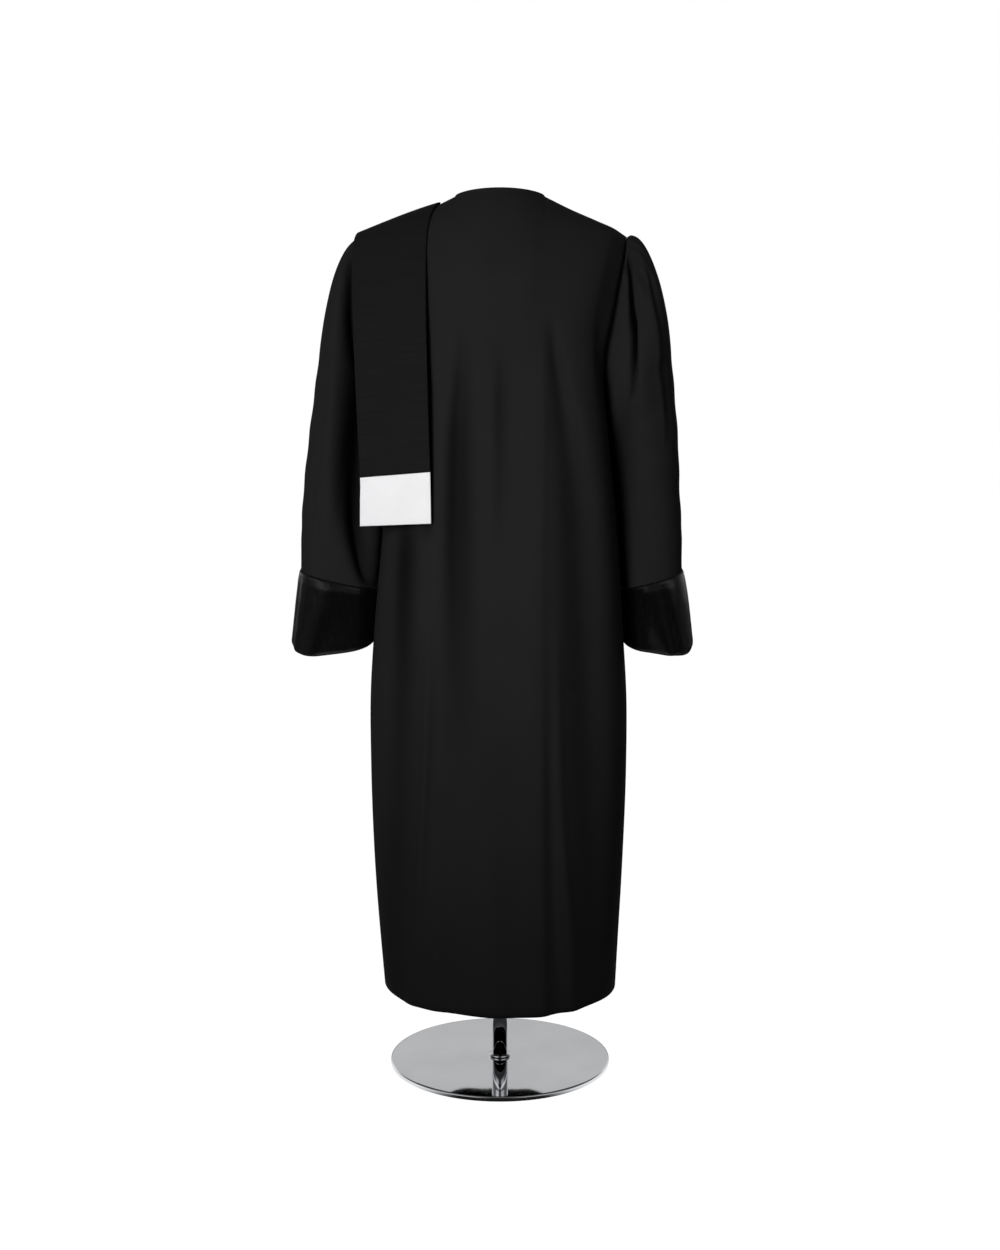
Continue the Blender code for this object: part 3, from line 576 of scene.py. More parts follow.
frontFolds = (
    {"left": 0.018, "right": 0.015, "path": (
        (0.10, 0.108, -0.013, 1.0), (0.50, 0.100, -0.010, 1.0), (0.95, 0.088, -0.007, 1.0),
        (1.20, 0.080, 0.0, 1.0),
    )},
    {"left": 0.026, "right": 0.032, "path": (
        (0.10, 0.066, 0.014, 1.0), (0.45, 0.062, 0.007, 1.0), (0.85, 0.058, 0.0, 1.0),
    )},
    {"left": 0.013, "right": 0.016, "path": (
        (0.10, 0.150, 0.007, 1.0), (0.40, 0.142, 0.005, 1.0), (0.80, 0.130, 0.0, 1.0),
    )},
    {"left": 0.014, "right": 0.018, "path": (
        (0.10, -0.090, -0.014, 1.0), (0.55, -0.086, -0.009, 1.0), (1.00, -0.078, -0.007, 1.0),
        (1.18, -0.070, 0.0, 1.0),
    )},
    {"left": 0.030, "right": 0.024, "path": (
        (0.10, -0.125, 0.011, 1.0), (0.45, -0.120, 0.006, 1.0), (0.80, -0.112, 0.0, 1.0),
    )},
    {"left": 0.014, "right": 0.016, "path": (
        (0.10, -0.050, 0.006, 1.0), (0.40, -0.046, 0.003, 1.0), (0.70, -0.044, 0.0, 1.0),
    )},
    {"left": 0.012, "right": 0.016, "path": (
        (0.92, 0.140, 0.0, 1.0), (1.06, 0.138, -0.005, 1.0), (1.18, 0.146, -0.005, 1.0),
        (1.26, 0.156, 0.0, 1.0),
    )},
    {"left": 0.016, "right": 0.011, "path": (
        (0.95, -0.142, 0.0, 1.0), (1.08, -0.138, -0.005, 1.0), (1.19, -0.146, -0.006, 1.0),
        (1.26, -0.156, 0.0, 1.0),
    )},
)


def foldHeight(folds, x, z):
    # height of all folds, and how far the cloth at each point lies hidden in a valley, which sets its
    # painted shade
    total = np.zeros_like(x)
    hollow = np.zeros_like(x)
    for fold in folds:
        zs, xs, heights, spreads = zip(*fold["path"])
        middle = along(zs, xs, z)
        spread = along(zs, spreads, z)
        height = along(zs, heights, z) * (z <= zs[-1])
        if heights[0] == 0:
            height = height * (z >= zs[0])
        total += height * bell((x - middle) / spread, fold["left"], fold["right"])
        # painted shade for the folds that have a shade
        if "shade" in fold:
            wide = bell((x - middle) / spread / 1.2, fold["left"], fold["right"])
            hollow += fold["shade"] * height / min(heights) * wide
    return total, hollow


def skirtPoint(side, share, z):
    x = along(body["z"], body["centre"], z) + share * along(body["z"], body["halfWidth"], z)
    power = along(body["z"], body["power"], z)
    if side == "back":
        power = power + along(body["z"], body["rightPower"], z) * (share < 0)
    rounding = np.clip(1 - np.abs(share) ** power, 0, 1) ** (1 / power)
    return x, along(body["z"], body[side], z) * rounding, z


def yokePoint(side, share, t):
    opening = neck[side]
    startY = skirtPoint(side, share, underarmZ)[1]
    topX = share * tipX
    inNeck = np.sqrt(np.clip(1 - (topX / neckHalfWidth) ** 2, 0, 1))
    endY = opening["depth"] * inNeck
    endZ = mix(along(body["shoulderX"], body["shoulderZ"], np.abs(topX)), opening["z"], inNeck**1.5)
    slope = np.radians(opening["slope"]) * inNeck
    reach = mix(body["shoulderReach"] * startY + body["shoulderLead"], opening["reach"], inNeck)
    atArm = ramp(body["armFrom"], 1, np.abs(share))
    y = bezier(startY, mix(startY, body["armBulge"], atArm), endY + reach * np.cos(slope), endY, t)
    rise = mix(body["yokeRise"], body["armRise"], atArm)
    z = bezier(underarmZ, underarmZ + rise, endZ - reach * np.sin(slope), endZ, t)
    return share * along(body["yokeShare"], body["yokeHalfWidth"], t), y, z


def softened(grid, share, t):
    # evens out the crease that the neck's corner would send down the yoke
    reach = body["evenReach"]
    weights = np.exp(-((np.arange(-3 * reach, 3 * reach + 1) / reach) ** 2))
    weights /= weights.sum()
    steps = np.arange(1, 3 * reach + 1)
    even = grid.copy()
    for k in (1, 2):
        column = grid[:, :, k]
        before = column[:, :1] - (column[:, 1:2] - column[:, :1]) * steps[::-1]
        after = column[:, -1:] + (column[:, -1:] - column[:, -2:-1]) * steps
        wide = np.concatenate((before, column, after), axis=1)
        even[:, :, k] = [np.convolve(row, weights, "valid") for row in wide]
    keep = ramp(*body["evenBelow"], t) + ramp(*body["evenWithin"], np.abs(share))
    keep = keep.clip(0, 1)[:, :, None]
    return mix(even, grid, keep)


# Faint marks between the named folds: height, waves in radians per metre, where they fade
hangMark = {"height": 0.0007, "across": 61, "sway": 1.7, "swayDown": 5.1, "top": 1.15, "full": 0.5}
handMark = {"height": 0.0004, "down": 33, "skew": 18, "across": 37, "start": 0.6}


def bodyGrid(side, shares):
    # outer face of a panel, rows from the hem up
    sign = 1 if side == "back" else -1
    levels = np.linspace(body["z"][0], underarmZ, body["skirtRows"])
    share, level = np.meshgrid(shares, levels)
    lower = np.stack(skirtPoint(side, share, level), axis=-1)
    shareUp, t = np.meshgrid(shares, np.linspace(0, 1, body["yokeRows"] + 1)[1:])
    upper = softened(np.stack(yokePoint(side, shareUp, t), axis=-1), shareUp, t)
    grid = np.concatenate((lower, upper))
    share = np.concatenate((share, shareUp))
    # the hem rises a little towards the side seams
    lift = np.where(share > 0, body["hemLift"]["left"], body["hemLift"]["right"]) * share**4
    grid[:, :, 2] += lift * (1 - ramp(body["z"][0], body["liftTop"], grid[:, :, 2]))
    fade = (1 - share**4) * np.concatenate((np.ones_like(level), 1 - ramp(0.5, 0.9, t)))
    x, z = grid[:, :, 0], grid[:, :, 2]
    height, hollow = foldHeight(backFolds if side == "back" else frontFolds, x, z)
    sway = hangMark["sway"] * np.sin(z * hangMark["swayDown"] + sign)
    hanging = hangMark["height"] * np.sin(x * hangMark["across"] + sway)
    height += hanging * ramp(hangMark["top"], hangMark["full"], z)
    handled = handMark["height"] * np.sin(z * handMark["down"] + x * handMark["skew"] + 2 * sign)
    height += handled * np.sin(x * handMark["across"] + handMark["start"])
    grid[:, :, 1] = sign * (grid[:, :, 1] + fade * height - sewnIn)
    return grid, hollow


def bodyNormals(side, shares, grid):
    normals = gridNormals(grid, sign=1 if side == "back" else -1)
    for j in (0, -1):
        if abs(shares[j]) > 0.999:
            normals[:body["skirtRows"], j, 1] = 0
    onShoulder = np.abs(shares) * tipX >= neckHalfWidth - 1e-6
    normals[-1, onShoulder, 1] = 0
    return unit(normals)


def bodyShares():
    neckShare = neckHalfWidth / tipX
    inner = np.linspace(0, neckShare, body["neckColumns"] + 1)
    turn = np.linspace(math.asin(neckShare), math.pi / 2, body["shoulderColumns"] + 1)
    half = np.concatenate((inner, np.sin(turn[1:])))
    return np.concatenate((-half[:0:-1], half))


def clothPanel(name, grid, out, hollow):
    # a little thicker where the hem is turned up
    hemTop = body["z"][0] + body["hemHeight"]
    inHem = ramp(hemTop + 0.001, hemTop, grid[:, :, 2])
    wall = mix(clothWall, body["hemWall"], inHem)[:, :, None]
    panel = wallPiece(name, grid, grid - wall * out, robeCloth)
    addHollow(panel, hollow)
    return panel


shares = bodyShares()
backGrid, backHollow = bodyGrid("back", shares)
backOut = bodyNormals("back", shares, backGrid)
back = clothPanel("backPanel", backGrid, backOut, backHollow)
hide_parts("back")

lap = {"edge": 0.075, "ramp": 0.130, "under": 0.055, "lift": 0.0026, "leftColumns": 22, "rightColumns": 20}
frontAll = bodyGrid("front", shares)[0]
sideShares = shares[shares > lap["ramp"] + 0.01]
lapShares = np.linspace(-lap["edge"], lap["ramp"], lap["leftColumns"])
underShares = np.linspace(-lap["ramp"], lap["under"], lap["rightColumns"])
leftShares = np.concatenate((lapShares, sideShares))
rightShares = np.concatenate((-sideShares[::-1], underShares))
leftGrid, leftHollow = bodyGrid("front", leftShares)
leftOut = bodyNormals("front", leftShares, leftGrid)
lapLift = lap["lift"] * (1 - ramp(lap["edge"], lap["ramp"], leftShares))
leftGrid = leftGrid + leftOut * lapLift[None, :, None]
frontLeft = clothPanel("frontLeftPanel", leftGrid, leftOut, leftHollow)
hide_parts("front_left")
rightGrid, rightHollow = bodyGrid("front", rightShares)
rightOut = bodyNormals("front", rightShares, rightGrid)
frontRight = clothPanel("frontRightPanel", rightGrid, rightOut, rightHollow)
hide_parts("front_right")
print("body panels made")


# sleeves and cuffs

sleeve = {
    "row": (1, 2, 3, 4, 5, 6, 7, 8, 9),
    "lateralZ": (1.1770, 1.1000, 1.0200, 0.9400, 0.8700, 0.8150, 0.7750, 0.7380, 0.7020),
    "left": (0.2832, 0.2947, 0.3062, 0.3157, 0.3205, 0.3220, 0.3253, 0.3298, 0.3350),
    "right": (0.2692, 0.2775, 0.2850, 0.2889, 0.2933, 0.2943, 0.2997, 0.3045, 0.3100),
    "medialZ": (1.040, 0.985, 0.935, 0.880, 0.830, 0.786, 0.765, 0.742, 0.717),
    "leftMedial": (0.1710, 0.1758, 0.1811, 0.1864, 0.1915, 0.1967, 0.1988, 0.2004, 0.2022),
    "rightMedial": (0.1706, 0.1750, 0.1799, 0.1848, 0.1893, 0.1935, 0.1950, 0.1960, 0.1974),
    "middleY": (-0.012, -0.022, -0.028, -0.032, -0.034, -0.038, -0.042, -0.046, -0.050),
    "halfDepth": (0.070, 0.070, 0.069, 0.067, 0.064, 0.061, 0.059, 0.057, 0.056),
    "rearDrop": (0.0, 0.0, 0.0, 0.0, 0.002, 0.004, 0.012, 0.022, 0.032),
    "power": (2.0, 2.1, 2.2, 2.3, 2.4, 2.5, 2.7, 3.0, 3.4),
    "capRows": 48, "capCrowd": 1.25, "bodyRows": 96, "columns": 132,
    "capOut": {"left": 0.046, "right": 0.027}, "capUp": 0.010,
    "underOut": 0.010, "underUp": -0.010, "tailTop": 1.25, "tailUnder": 0.35,
    "gatherStart": 0.07, "gatherKeep": 0.25, "gatherDrift": 0.25, "gatherWiden": 0.8,
}
# Cap gathers: degrees round from the shoulder, height, half width in degrees, row where it runs out
gathers = {
    "left": (
        (-64, 0.0020, 5.0, 0.55), (-50, 0.0028, 4.5, 0.60), (-37, 0.0030, 4.0, 0.72),
        (-25, 0.0026, 3.6, 0.60), (-13, 0.0034, 3.8, 0.85), (-2, 0.0022, 3.4, 0.50),
        (8, 0.0030, 3.8, 0.80), (19, 0.0034, 4.0, 0.95), (31, 0.0028, 4.2, 0.70), (44, 0.0024, 4.6, 0.60),
        (66, 0.0020, 5.0, 0.55),
    ),
    "right": (
        (-62, 0.0022, 5.0, 0.55), (-48, 0.0028, 4.6, 0.65), (-36, 0.0032, 4.0, 0.70),
        (-24, 0.0026, 3.7, 0.55), (-12, 0.0032, 3.8, 0.80), (-1, 0.0024, 3.4, 0.55),
        (9, 0.0036, 3.8, 0.75), (20, 0.0040, 4.0, 1.00), (30, 0.0030, 3.6, 0.60), (46, 0.0042, 6.0, 1.30),
        (64, 0.0022, 5.0, 0.55),
    ),
}
# Sleeve folds as a path of (row, degrees round, height), flanks in degrees; shade is how far painted shade
# darkens the cloth in it
sleeveFolds = {
    "left": (
        {"shade": 1.0, "left": 16, "right": 24, "path": (
            (0.10, 22, 0.0), (0.20, 25, -0.006), (0.35, 33, -0.014), (0.5, 55, -0.024), (0.7, 74, -0.034),
            (0.9, 83, -0.038), (1.2, 88, -0.040), (2.0, 94, -0.040), (3.2, 101, -0.038),
            (4.0, 107, -0.034), (5.0, 121, -0.024), (5.6, 132, -0.014), (6.1, 144, 0.0),
        )},
        {"left": 9, "right": 10, "path": (
            (0.5, 36, 0.0), (1.2, 56, 0.004), (2.6, 66, 0.004), (4.8, 78, 0.0),
        )},
        {"left": 10, "right": 12, "path": (
            (0.3, 262, 0.0), (0.9, 272, -0.009), (2.4, 276, -0.007), (4.4, 280, 0.0),
        )},
        {"left": 7, "right": 10, "path": (
            (0.6, 306, 0.0), (1.4, 310, 0.003), (3.0, 312, 0.003), (5.0, 310, 0.0),
        )},
        {"left": 5, "right": 4, "path": (
            (2.6, 66, 0.0), (3.5, 62, 0.0024), (4.7, 60, 0.0026), (5.4, 52, 0.0024), (6.4, 48, 0.0),
        )},
    ),
    "right": (
        {"shade": 1.0, "left": 5, "right": 6, "path": (
            (0.08, 28, 0.0), (0.15, 36, -0.012), (0.28, 59, -0.022), (0.39, 74, -0.028),
            (0.50, 81, -0.029), (0.62, 91, -0.024), (0.80, 100, -0.012), (1.15, 106, 0.0),
        )},
        {"left": 14, "right": 14, "path": (
            (0.4, 86, 0.0), (1.0, 106, -0.004), (2.4, 112, -0.004), (4.4, 116, 0.0),
        )},
        {"shade": 0.5, "left": 30, "right": 40, "path": (
            (0.7, 138, 0.0), (1.4, 142, -0.003), (3.5, 146, -0.004), (5.0, 150, -0.002), (6.0, 154, 0.0),
        )},
        {"left": 3, "right": 7, "path": (
            (0.25, 20, 0.0), (0.45, 32, 0.0018), (0.60, 45, 0.0024), (0.90, 55, 0.0024),
            (2.1, 58, 0.0024), (2.9, 60, 0.0),
        )},
        {"left": 9, "right": 5, "path": (
            (0.25, 8, 0.0), (0.45, 22, -0.0014), (0.60, 34, -0.0020), (0.90, 44, -0.0020),
            (2.1, 47, -0.0018), (2.9, 48, 0.0),
        )},
        {"left": 38, "right": 30, "path": (
            (0.25, 204, 0.0), (0.5, 204, 0.008), (0.85, 204, 0.013), (1.3, 204, 0.012), (2.2, 204, 0.007),
            (3.4, 206, 0.0),
        )},
        {"left": 10, "right": 13, "path": (
            (0.25, 268, 0.0), (0.8, 276, -0.009), (2.0, 270, -0.008), (4.0, 268, 0.0),
        )},
        {"left": 9, "right": 7, "path": (
            (0.7, 318, 0.0), (1.5, 316, 0.003), (3.2, 314, 0.0026), (5.0, 316, 0.0),
        )},
    ),
}


def squared(wave, power):
    return (np.sign(wave) * np.abs(wave) ** (2 / power))[:, None]


def sleeveRing(hand, row, turn):
    names = (hand, hand + "Medial", "lateralZ", "medialZ", "middleY", "halfDepth", "rearDrop", "power")
    value = rowAt(sleeve, names, row)
    lateral = np.array((value[hand], value["middleY"], value["lateralZ"]))
    medial = np.array((value[hand + "Medial"], value["middleY"], value["medialZ"]))
    rear = np.array((0, value["halfDepth"], -value["rearDrop"]))
    across = squared(np.cos(turn), value["power"])
    behind = squared(np.sin(turn), value["power"])
    return (lateral + medial) / 2 + across * (lateral - medial) / 2 + behind * rear


def armholeLoop(backSide, frontSide):
    first = body["skirtRows"] - 1
    loop = np.vstack((backSide[first:, -1][::-1], frontSide[first + 1:-1, -1]))
    closed = np.vstack((loop, loop[:1]))
    at = measured(closed)
    even = np.arange(sleeve["columns"]) / sleeve["columns"] * at[-1]
    result = np.column_stack([np.interp(even, at, closed[:, k]) for k in range(3)])
    result[:, 0] += seamGap
    return result


def sleeveGrid(hand, loop, rows):
    turn = np.arange(len(loop)) * 2 * np.pi / len(loop)
    top = ((1 + np.cos(turn)) / 2)[:, None]
    leave = mix(np.array((sleeve["underOut"], 0, sleeve["underUp"])),
                np.array((sleeve["capOut"][hand], 0, sleeve["capUp"])), top)
    first = sleeveRing(hand, 1, turn)
    arrive = (first - sleeveRing(hand, 2, turn)) * mix(sleeve["tailUnder"], sleeve["tailTop"], top)
    grid = np.stack([
        bezier(loop, loop + leave, first + arrive, first, row) if row < 1 else sleeveRing(hand, row, turn)
        for row in rows
    ])
    normals = gridNormals(grid, wrap=True)
    degrees = np.degrees(turn)[None, :]
    signed = (degrees + 180) % 360 - 180
    row = np.array(rows)[:, None]
    height = np.zeros(grid.shape[:2])
    hollow = np.zeros(grid.shape[:2])
    for fold in sleeveFolds[hand]:
        at, places, heights = zip(*fold["path"])
        size = along(at, heights, row) * (row > at[0]) * (row < at[-1])
        shape = bell(degrees - along(at, places, row), fold["left"], fold["right"])
        height += size * shape
        # painted shade deep in the folds that have a shade
        if "shade" in fold:
            hollow += fold["shade"] * size / min(heights) * shape
    for place, size, width, end in gathers[hand]:
        grown = ramp(0.0, sleeve["gatherStart"], row) * (1 - ramp(sleeve["gatherKeep"] * end, end, row))
        drift = 1 + sleeve["gatherDrift"] * ramp(0.2, 1.0, row)
        wide = width * (1 + row * sleeve["gatherWiden"])
        height += size * grown * bell(signed - place * drift, wide, wide)
    # hanging cloth is never quite even
    height += 0.0005 * np.sin(row * 7.3 + degrees * 0.045) * ramp(0.6, 1.6, row) * ramp(5.4, 4.6, row)
    return grid + normals * height[:, :, None], hollow


cuff = {
    "startRow": 6.0, "wall": 0.0017, "proud": 0.0003, "bulge": 0.0010,
    "rollOut": 0.0003, "rollAt": 0.002, "rollWide": 0.0016, "sink": 0.0017,
    "flatTop": 0.12, "dullWide": 0.0035,
}
# Soft waves in the satin as a path of (share of the way down, degrees round, height)
cuffFolds = {
    "left": (
        {"left": 20, "right": 12, "path": ((0.0, 84, 0.0018), (0.5, 82, 0.0040), (1.0, 75, 0.0042))},
        {"left": 9, "right": 12, "path": ((0.0, 60, -0.0008), (0.6, 54, -0.0014), (1.0, 48, -0.0014))},
        {"left": 6, "right": 6, "path": ((0.0, 28, -0.0010), (0.5, 24, -0.0022), (1.0, 22, -0.0018))},
        {"left": 12, "right": 9, "path": ((0.0, 292, 0.0012), (0.6, 300, 0.0028), (1.0, 306, 0.0026))},
        {"left": 8, "right": 10, "path": ((0.0, 255, -0.0008), (0.6, 258, -0.0022), (1.0, 262, -0.0026))},
    ),
    "right": (
        {"left": 15, "right": 10, "path": ((0.0, 56, 0.0010), (0.45, 64, 0.0030), (1.0, 56, 0.0024))},
        {"left": 6, "right": 7, "path": ((0.0, 80, -0.0004), (0.5, 77, -0.0018), (1.0, 74, -0.0016))},
        {"left": 8, "right": 7, "path": ((0.0, 94, 0.0008), (0.5, 88, 0.0022), (1.0, 82, 0.0028))},
        {"left": 6, "right": 9, "path": ((0.0, 112, -0.0010), (0.6, 101, -0.0024), (1.0, 94, -0.0026))},
        {"left": 10, "right": 9, "path": ((0.0, 276, 0.0010), (0.5, 284, 0.0026), (1.0, 292, 0.0028))},
        {"left": 9, "right": 11, "path": ((0.0, 316, -0.0008), (0.6, 322, -0.0022), (1.0, 318, -0.0022))},
    ),
}


def cuffWall(outer, out, folds):
    # turned-back cuff: proud of the sleeve, with rolled edges and a soft swell between them
    at = measured(outer)
    down = at / at[-1]
    fromEdge = np.minimum(at, at[-1] - at)
    roll = cuff["rollOut"] * np.exp(-((fromEdge - cuff["rollAt"]) / cuff["rollWide"]) ** 2)
    swell = cuff["bulge"] * np.sin(np.pi * at / at[-1]) + roll
    sink = cuff["sink"] * np.exp(-((fromEdge / cuff["rollWide"]) ** 2))
    degrees = np.arange(outer.shape[1])[None, :] * 360 / outer.shape[1]
    wave = np.zeros(outer.shape[:2])
    for fold in folds:
        levels, places, heights = zip(*fold["path"])
        distance = degrees - along(levels, places, down)
        wave += along(levels, heights, down) * bell(distance, fold["left"], fold["right"])
    fromTop = ramp(0.0, cuff["flatTop"], down)
    wave *= fromTop
    lift = seamGap + wave - np.minimum(wave.min(axis=1, keepdims=True), 0) * fromTop
    face = outer + out * (lift + cuff["wall"] + cuff["proud"] + swell - sink)[:, :, None]
    edge = np.exp(-(fromEdge / cuff["dullWide"]) ** 2)
    return face, outer + out * lift[:, :, None], edge


for hand in ("left", "right"):
    if hand == "left":
        loop = armholeLoop(backGrid, frontAll)
    else:
        loop = armholeLoop(mirrorX(backGrid[:, ::-1]), mirrorX(frontAll[:, ::-1]))
    capRows = np.linspace(0, 1, sleeve["capRows"] + 1)[:-1] ** sleeve["capCrowd"]
    bodyRows = np.linspace(1, sleeve["row"][-1], sleeve["bodyRows"])
    rows = np.concatenate((capRows, bodyRows))
    outer, hollow = sleeveGrid(hand, loop, rows)
    out = gridNormals(outer, wrap=True)
    fromMiddle = outer[0] - outer[0].mean(axis=0)
    fromMiddle[:, 0] = 0
    out[0] = unit(fromMiddle)
    out[1] = unit(out[0] + out[1])
    inner = outer - clothWall * out
    cuffStart = int(np.searchsorted(rows, cuff["startRow"]))
    face, underFace, edge = cuffWall(outer[cuffStart:], out[cuffStart:], cuffFolds[hand])
    if hand == "right":
        outer, inner, face, underFace = map(mirrorX, (outer, inner, face, underFace))
    tube = wallPiece(hand + "Sleeve", outer, inner, robeCloth, wrap=True)
    addHollow(tube, hollow)
    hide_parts("sleeve_" + hand)
    turnBack = wallPiece(hand + "Cuff", face, underFace, cuffSatin, wrap=True)
    addHollow(turnBack, edge)
    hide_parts("cuff_" + hand)
print("sleeves and cuffs made")


# stole over the left shoulder: outer face by rows, from the back end over the shoulder to the front end

stole = {
    "row": tuple(range(20)),
    "xIn": (0.1050, 0.1055, 0.1061, 0.1085, 0.1105, 0.1118, 0.1126, 0.1128, 0.1124, 0.1105,
            0.1035, 0.0930, 0.1030, 0.1095, 0.1110, 0.1112, 0.1110, 0.1105, 0.1100, 0.1095),
    "yIn": (0.1235, 0.1228, 0.1218, 0.1170, 0.1110, 0.1045, 0.0960, 0.0850, 0.0728, 0.0590,
            0.0350, 0.0, -0.0350, -0.0620, -0.0785, -0.0915, -0.1015, -0.1085, -0.1140, -0.1185),
    "zIn": (0.8925, 0.9310, 0.9710, 1.0500, 1.1300, 1.1900, 1.2400, 1.2800, 1.3130, 1.3430,
            1.3740, 1.3890, 1.3745, 1.3435, 1.3080, 1.2650, 1.2100, 1.1400, 1.0600, 0.9800),
    "xOut": (0.2145, 0.2141, 0.2138, 0.2180, 0.2215, 0.2240, 0.2255, 0.2262, 0.2268, 0.2262,
             0.2240, 0.2225, 0.2235, 0.2252, 0.2255, 0.2248, 0.2240, 0.2228, 0.2210, 0.2192),
    "yOut": (0.1120, 0.1110, 0.1098, 0.1045, 0.0985, 0.0920, 0.0845, 0.0745, 0.0630, 0.0480,
             0.0280, 0.0, -0.0290, -0.0510, -0.0680, -0.0810, -0.0900, -0.0960, -0.1010, -0.1050),
    "zOut": (0.8880, 0.9252, 0.9622, 1.0450, 1.1270, 1.1880, 1.2370, 1.2720, 1.2990, 1.3210,
             1.3360, 1.3415, 1.3350, 1.3195, 1.2950, 1.2580, 1.2060, 1.1380, 1.0590, 0.9800),
    "arch": (0.0, 0.0, 0.0, 0.0, 0.0, 0.0005, 0.0010, 0.0020, 0.0035, 0.0045,
             0.0035, 0.0020, 0.0035, 0.0045, 0.0030, 0.0010, 0.0, 0.0, 0.0, 0.0),
    "bandEnd": 2, "wall": 0.0019, "steps": 230, "across": 56, "bandSteps": 84, "bandAcross": 110,
    "seam": 0.0034, "seamDip": 0.00035, "seamWide": 0.0008,
    "edge": 0.0016, "edgeWall": 0.0002, "ripple": 0.0009,
}
stitching = {
    "strip": {"length": 0.0022, "space": 0.0009, "radius": 0.00022},
    "band": {"length": 0.0024, "space": 0.0008, "radius": 0.00026},
    "hem": {"length": 0.0026, "space": 0.0018, "radius": 0.00020},
}


def stoleGrid(first, last, steps, across):
    row, share = np.meshgrid(np.linspace(first, last, steps), across, indexing="ij")
    value = rowAt(stole, ("xIn", "yIn", "zIn", "xOut", "yOut", "zOut", "arch"), row)
    x = mix(value["xIn"], value["xOut"], share)
    y = mix(value["yIn"], value["yOut"], share)
    z = mix(value["zIn"], value["zOut"], share) + value["arch"] * np.sin(np.pi * share**0.7)
    # a hanging strip is never quite flat
    ripple = stole["ripple"] * np.sin(row * 1.3 + share * 2.2)
    y = y + ripple * ramp(10.5, 8.0, row) * np.sin(np.pi * share)
    return np.stack((x, y, z), axis=-1)


def edgeDistance(grid, topOpen, lowOpen):
    # distance from the free edges of a strip
    across = measured(grid, axis=1)
    down = measured(grid)
    distance = np.minimum(across, across[:, -1:] - across)
    if lowOpen:
        distance = np.minimum(distance, down)
    if topOpen:
        distance = np.minimum(distance, down[-1:] - down)
    return distance


def stripWall(grid, out, topOpen, lowOpen):
    distance = edgeDistance(grid, topOpen, lowOpen)
    dip = stole["seamDip"] * np.exp(-(((distance - stole["seam"]) / stole["seamWide"]) ** 2))
    rounded = (stole["wall"] / 2 - stole["edgeWall"]) * np.clip(1 - distance / stole["edge"], 0, 1) ** 2
    face = grid - out * (dip + rounded)[:, :, None]
    inside = grid - out * (stole["wall"] - rounded)[:, :, None]
    return face, inside


def seamLines(grid, out, inset, ends):
    # stitch paths along both long edges, and across the ends that are named
    paths = []
    across = measured(grid, axis=1)
    for fromFar in (False, True):
        line = []
        normal = []
        for i in range(len(grid)):
            at = across[i, -1] - inset if fromFar else inset
            line.append(pointAt(at, across[i], grid[i]))
            normal.append(pointAt(at, across[i], out[i]))
        paths.append((np.array(line), np.array(normal)))
    for end in ends:
        rows = list(range(len(grid)))[::1 if end == "low" else -1]
        for i in rows[1:]:
            if np.linalg.norm(grid[i] - grid[rows[0]], axis=1).mean() >= inset:
                break
        keep = (across[i] > inset) & (across[i] < across[i, -1] - inset)
        paths.append((grid[i][keep], out[i][keep]))
    return paths


def evenAcross(count):
    # closer columns at the two edges, where the cloth is folded
    u = np.linspace(-1, 1, count)
    return (np.sin(u * np.pi / 2) * 0.45 + u * 0.55 + 1) / 2


stripEnd = stole["row"][-1]
gapRows = seamGap / (stole["zIn"][2] - stole["zIn"][1])
stripGrid = stoleGrid(stole["bandEnd"] + gapRows, stripEnd, stole["steps"], evenAcross(stole["across"]))
stripOut = gridNormals(stripGrid)
stripFace, stripInside = stripWall(stripGrid, stripOut, True, False)
strip = wallPiece("stoleStrip", stripFace, stripInside, stripCloth)
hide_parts("stole")
bandGrid = stoleGrid(0, stole["bandEnd"], stole["bandSteps"], evenAcross(stole["bandAcross"]))
bandOut = gridNormals(bandGrid)
bandFace, bandInside = stripWall(bandGrid, bandOut, True, True)
band = wallPiece("stoleBand", bandFace, bandInside, bandCloth)
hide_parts("stole_band_back")
for n, (line, normal) in enumerate(seamLines(stripFace, stripOut, stole["seam"], ("top",))):
    stitchRow("stripStitches%d" % n, line, normal, blackThread, stitching["strip"])
for n, (line, normal) in enumerate(seamLines(bandFace, bandOut, stole["seam"], ("low", "top"))):
    stitchRow("bandStitches%d" % n, line, normal, whiteThread, stitching["band"])
print("stole made")


# hem stitches, neck binding

hemRow = int(np.argmin(np.abs(backGrid[:, 0, 2] - body["z"][0] - body["hemHeight"])))
for name, grid, out in (
    ("back", backGrid, backOut), ("frontLeft", leftGrid, leftOut), ("frontRight", rightGrid, rightOut),
):
    stitchRow(name + "HemStitches", grid[hemRow], out[hemRow], blackThread, stitching["hem"])

binding = {"height": 0.007, "radius": 0.0016, "proud": 0.0007, "rise": 0.0008, "sides": 16}


def neckBinding(name, grid, out, keep):
    # narrow rolled edge round the neck opening
    edge = grid[-1][keep]
    up = unit(edge - grid[-4][keep])
    normal = out[-1][keep]
    wide = clothWall / 2 + binding["proud"]
    rings = []
    for j in range(len(edge)):
        middle = edge[j] - normal[j] * clothWall / 2 + up[j] * binding["rise"]
        ring = []
        for angle in np.linspace(0, 2 * np.pi, binding["sides"], endpoint=False):
            high = binding["radius"] if math.sin(angle) > 0 else binding["height"]
            ring.append(middle + normal[j] * wide * math.cos(angle) + up[j] * high * math.sin(angle))
        rings.append(np.array(ring))
    return solidPiece(name, rings, robeCloth)


def inNeck(shareList):
    return np.abs(shareList) * tipX <= neckHalfWidth + 1e-6


neckBinding("backNeckBinding", backGrid, backOut, inNeck(shares))
neckBinding("leftNeckBinding", leftGrid, leftOut, inNeck(leftShares))
besideLap = rightShares < -lap["edge"] - 0.01
neckBinding("rightNeckBinding", rightGrid, rightOut, inNeck(rightShares) & besideLap)
print("edges made")


# buttons

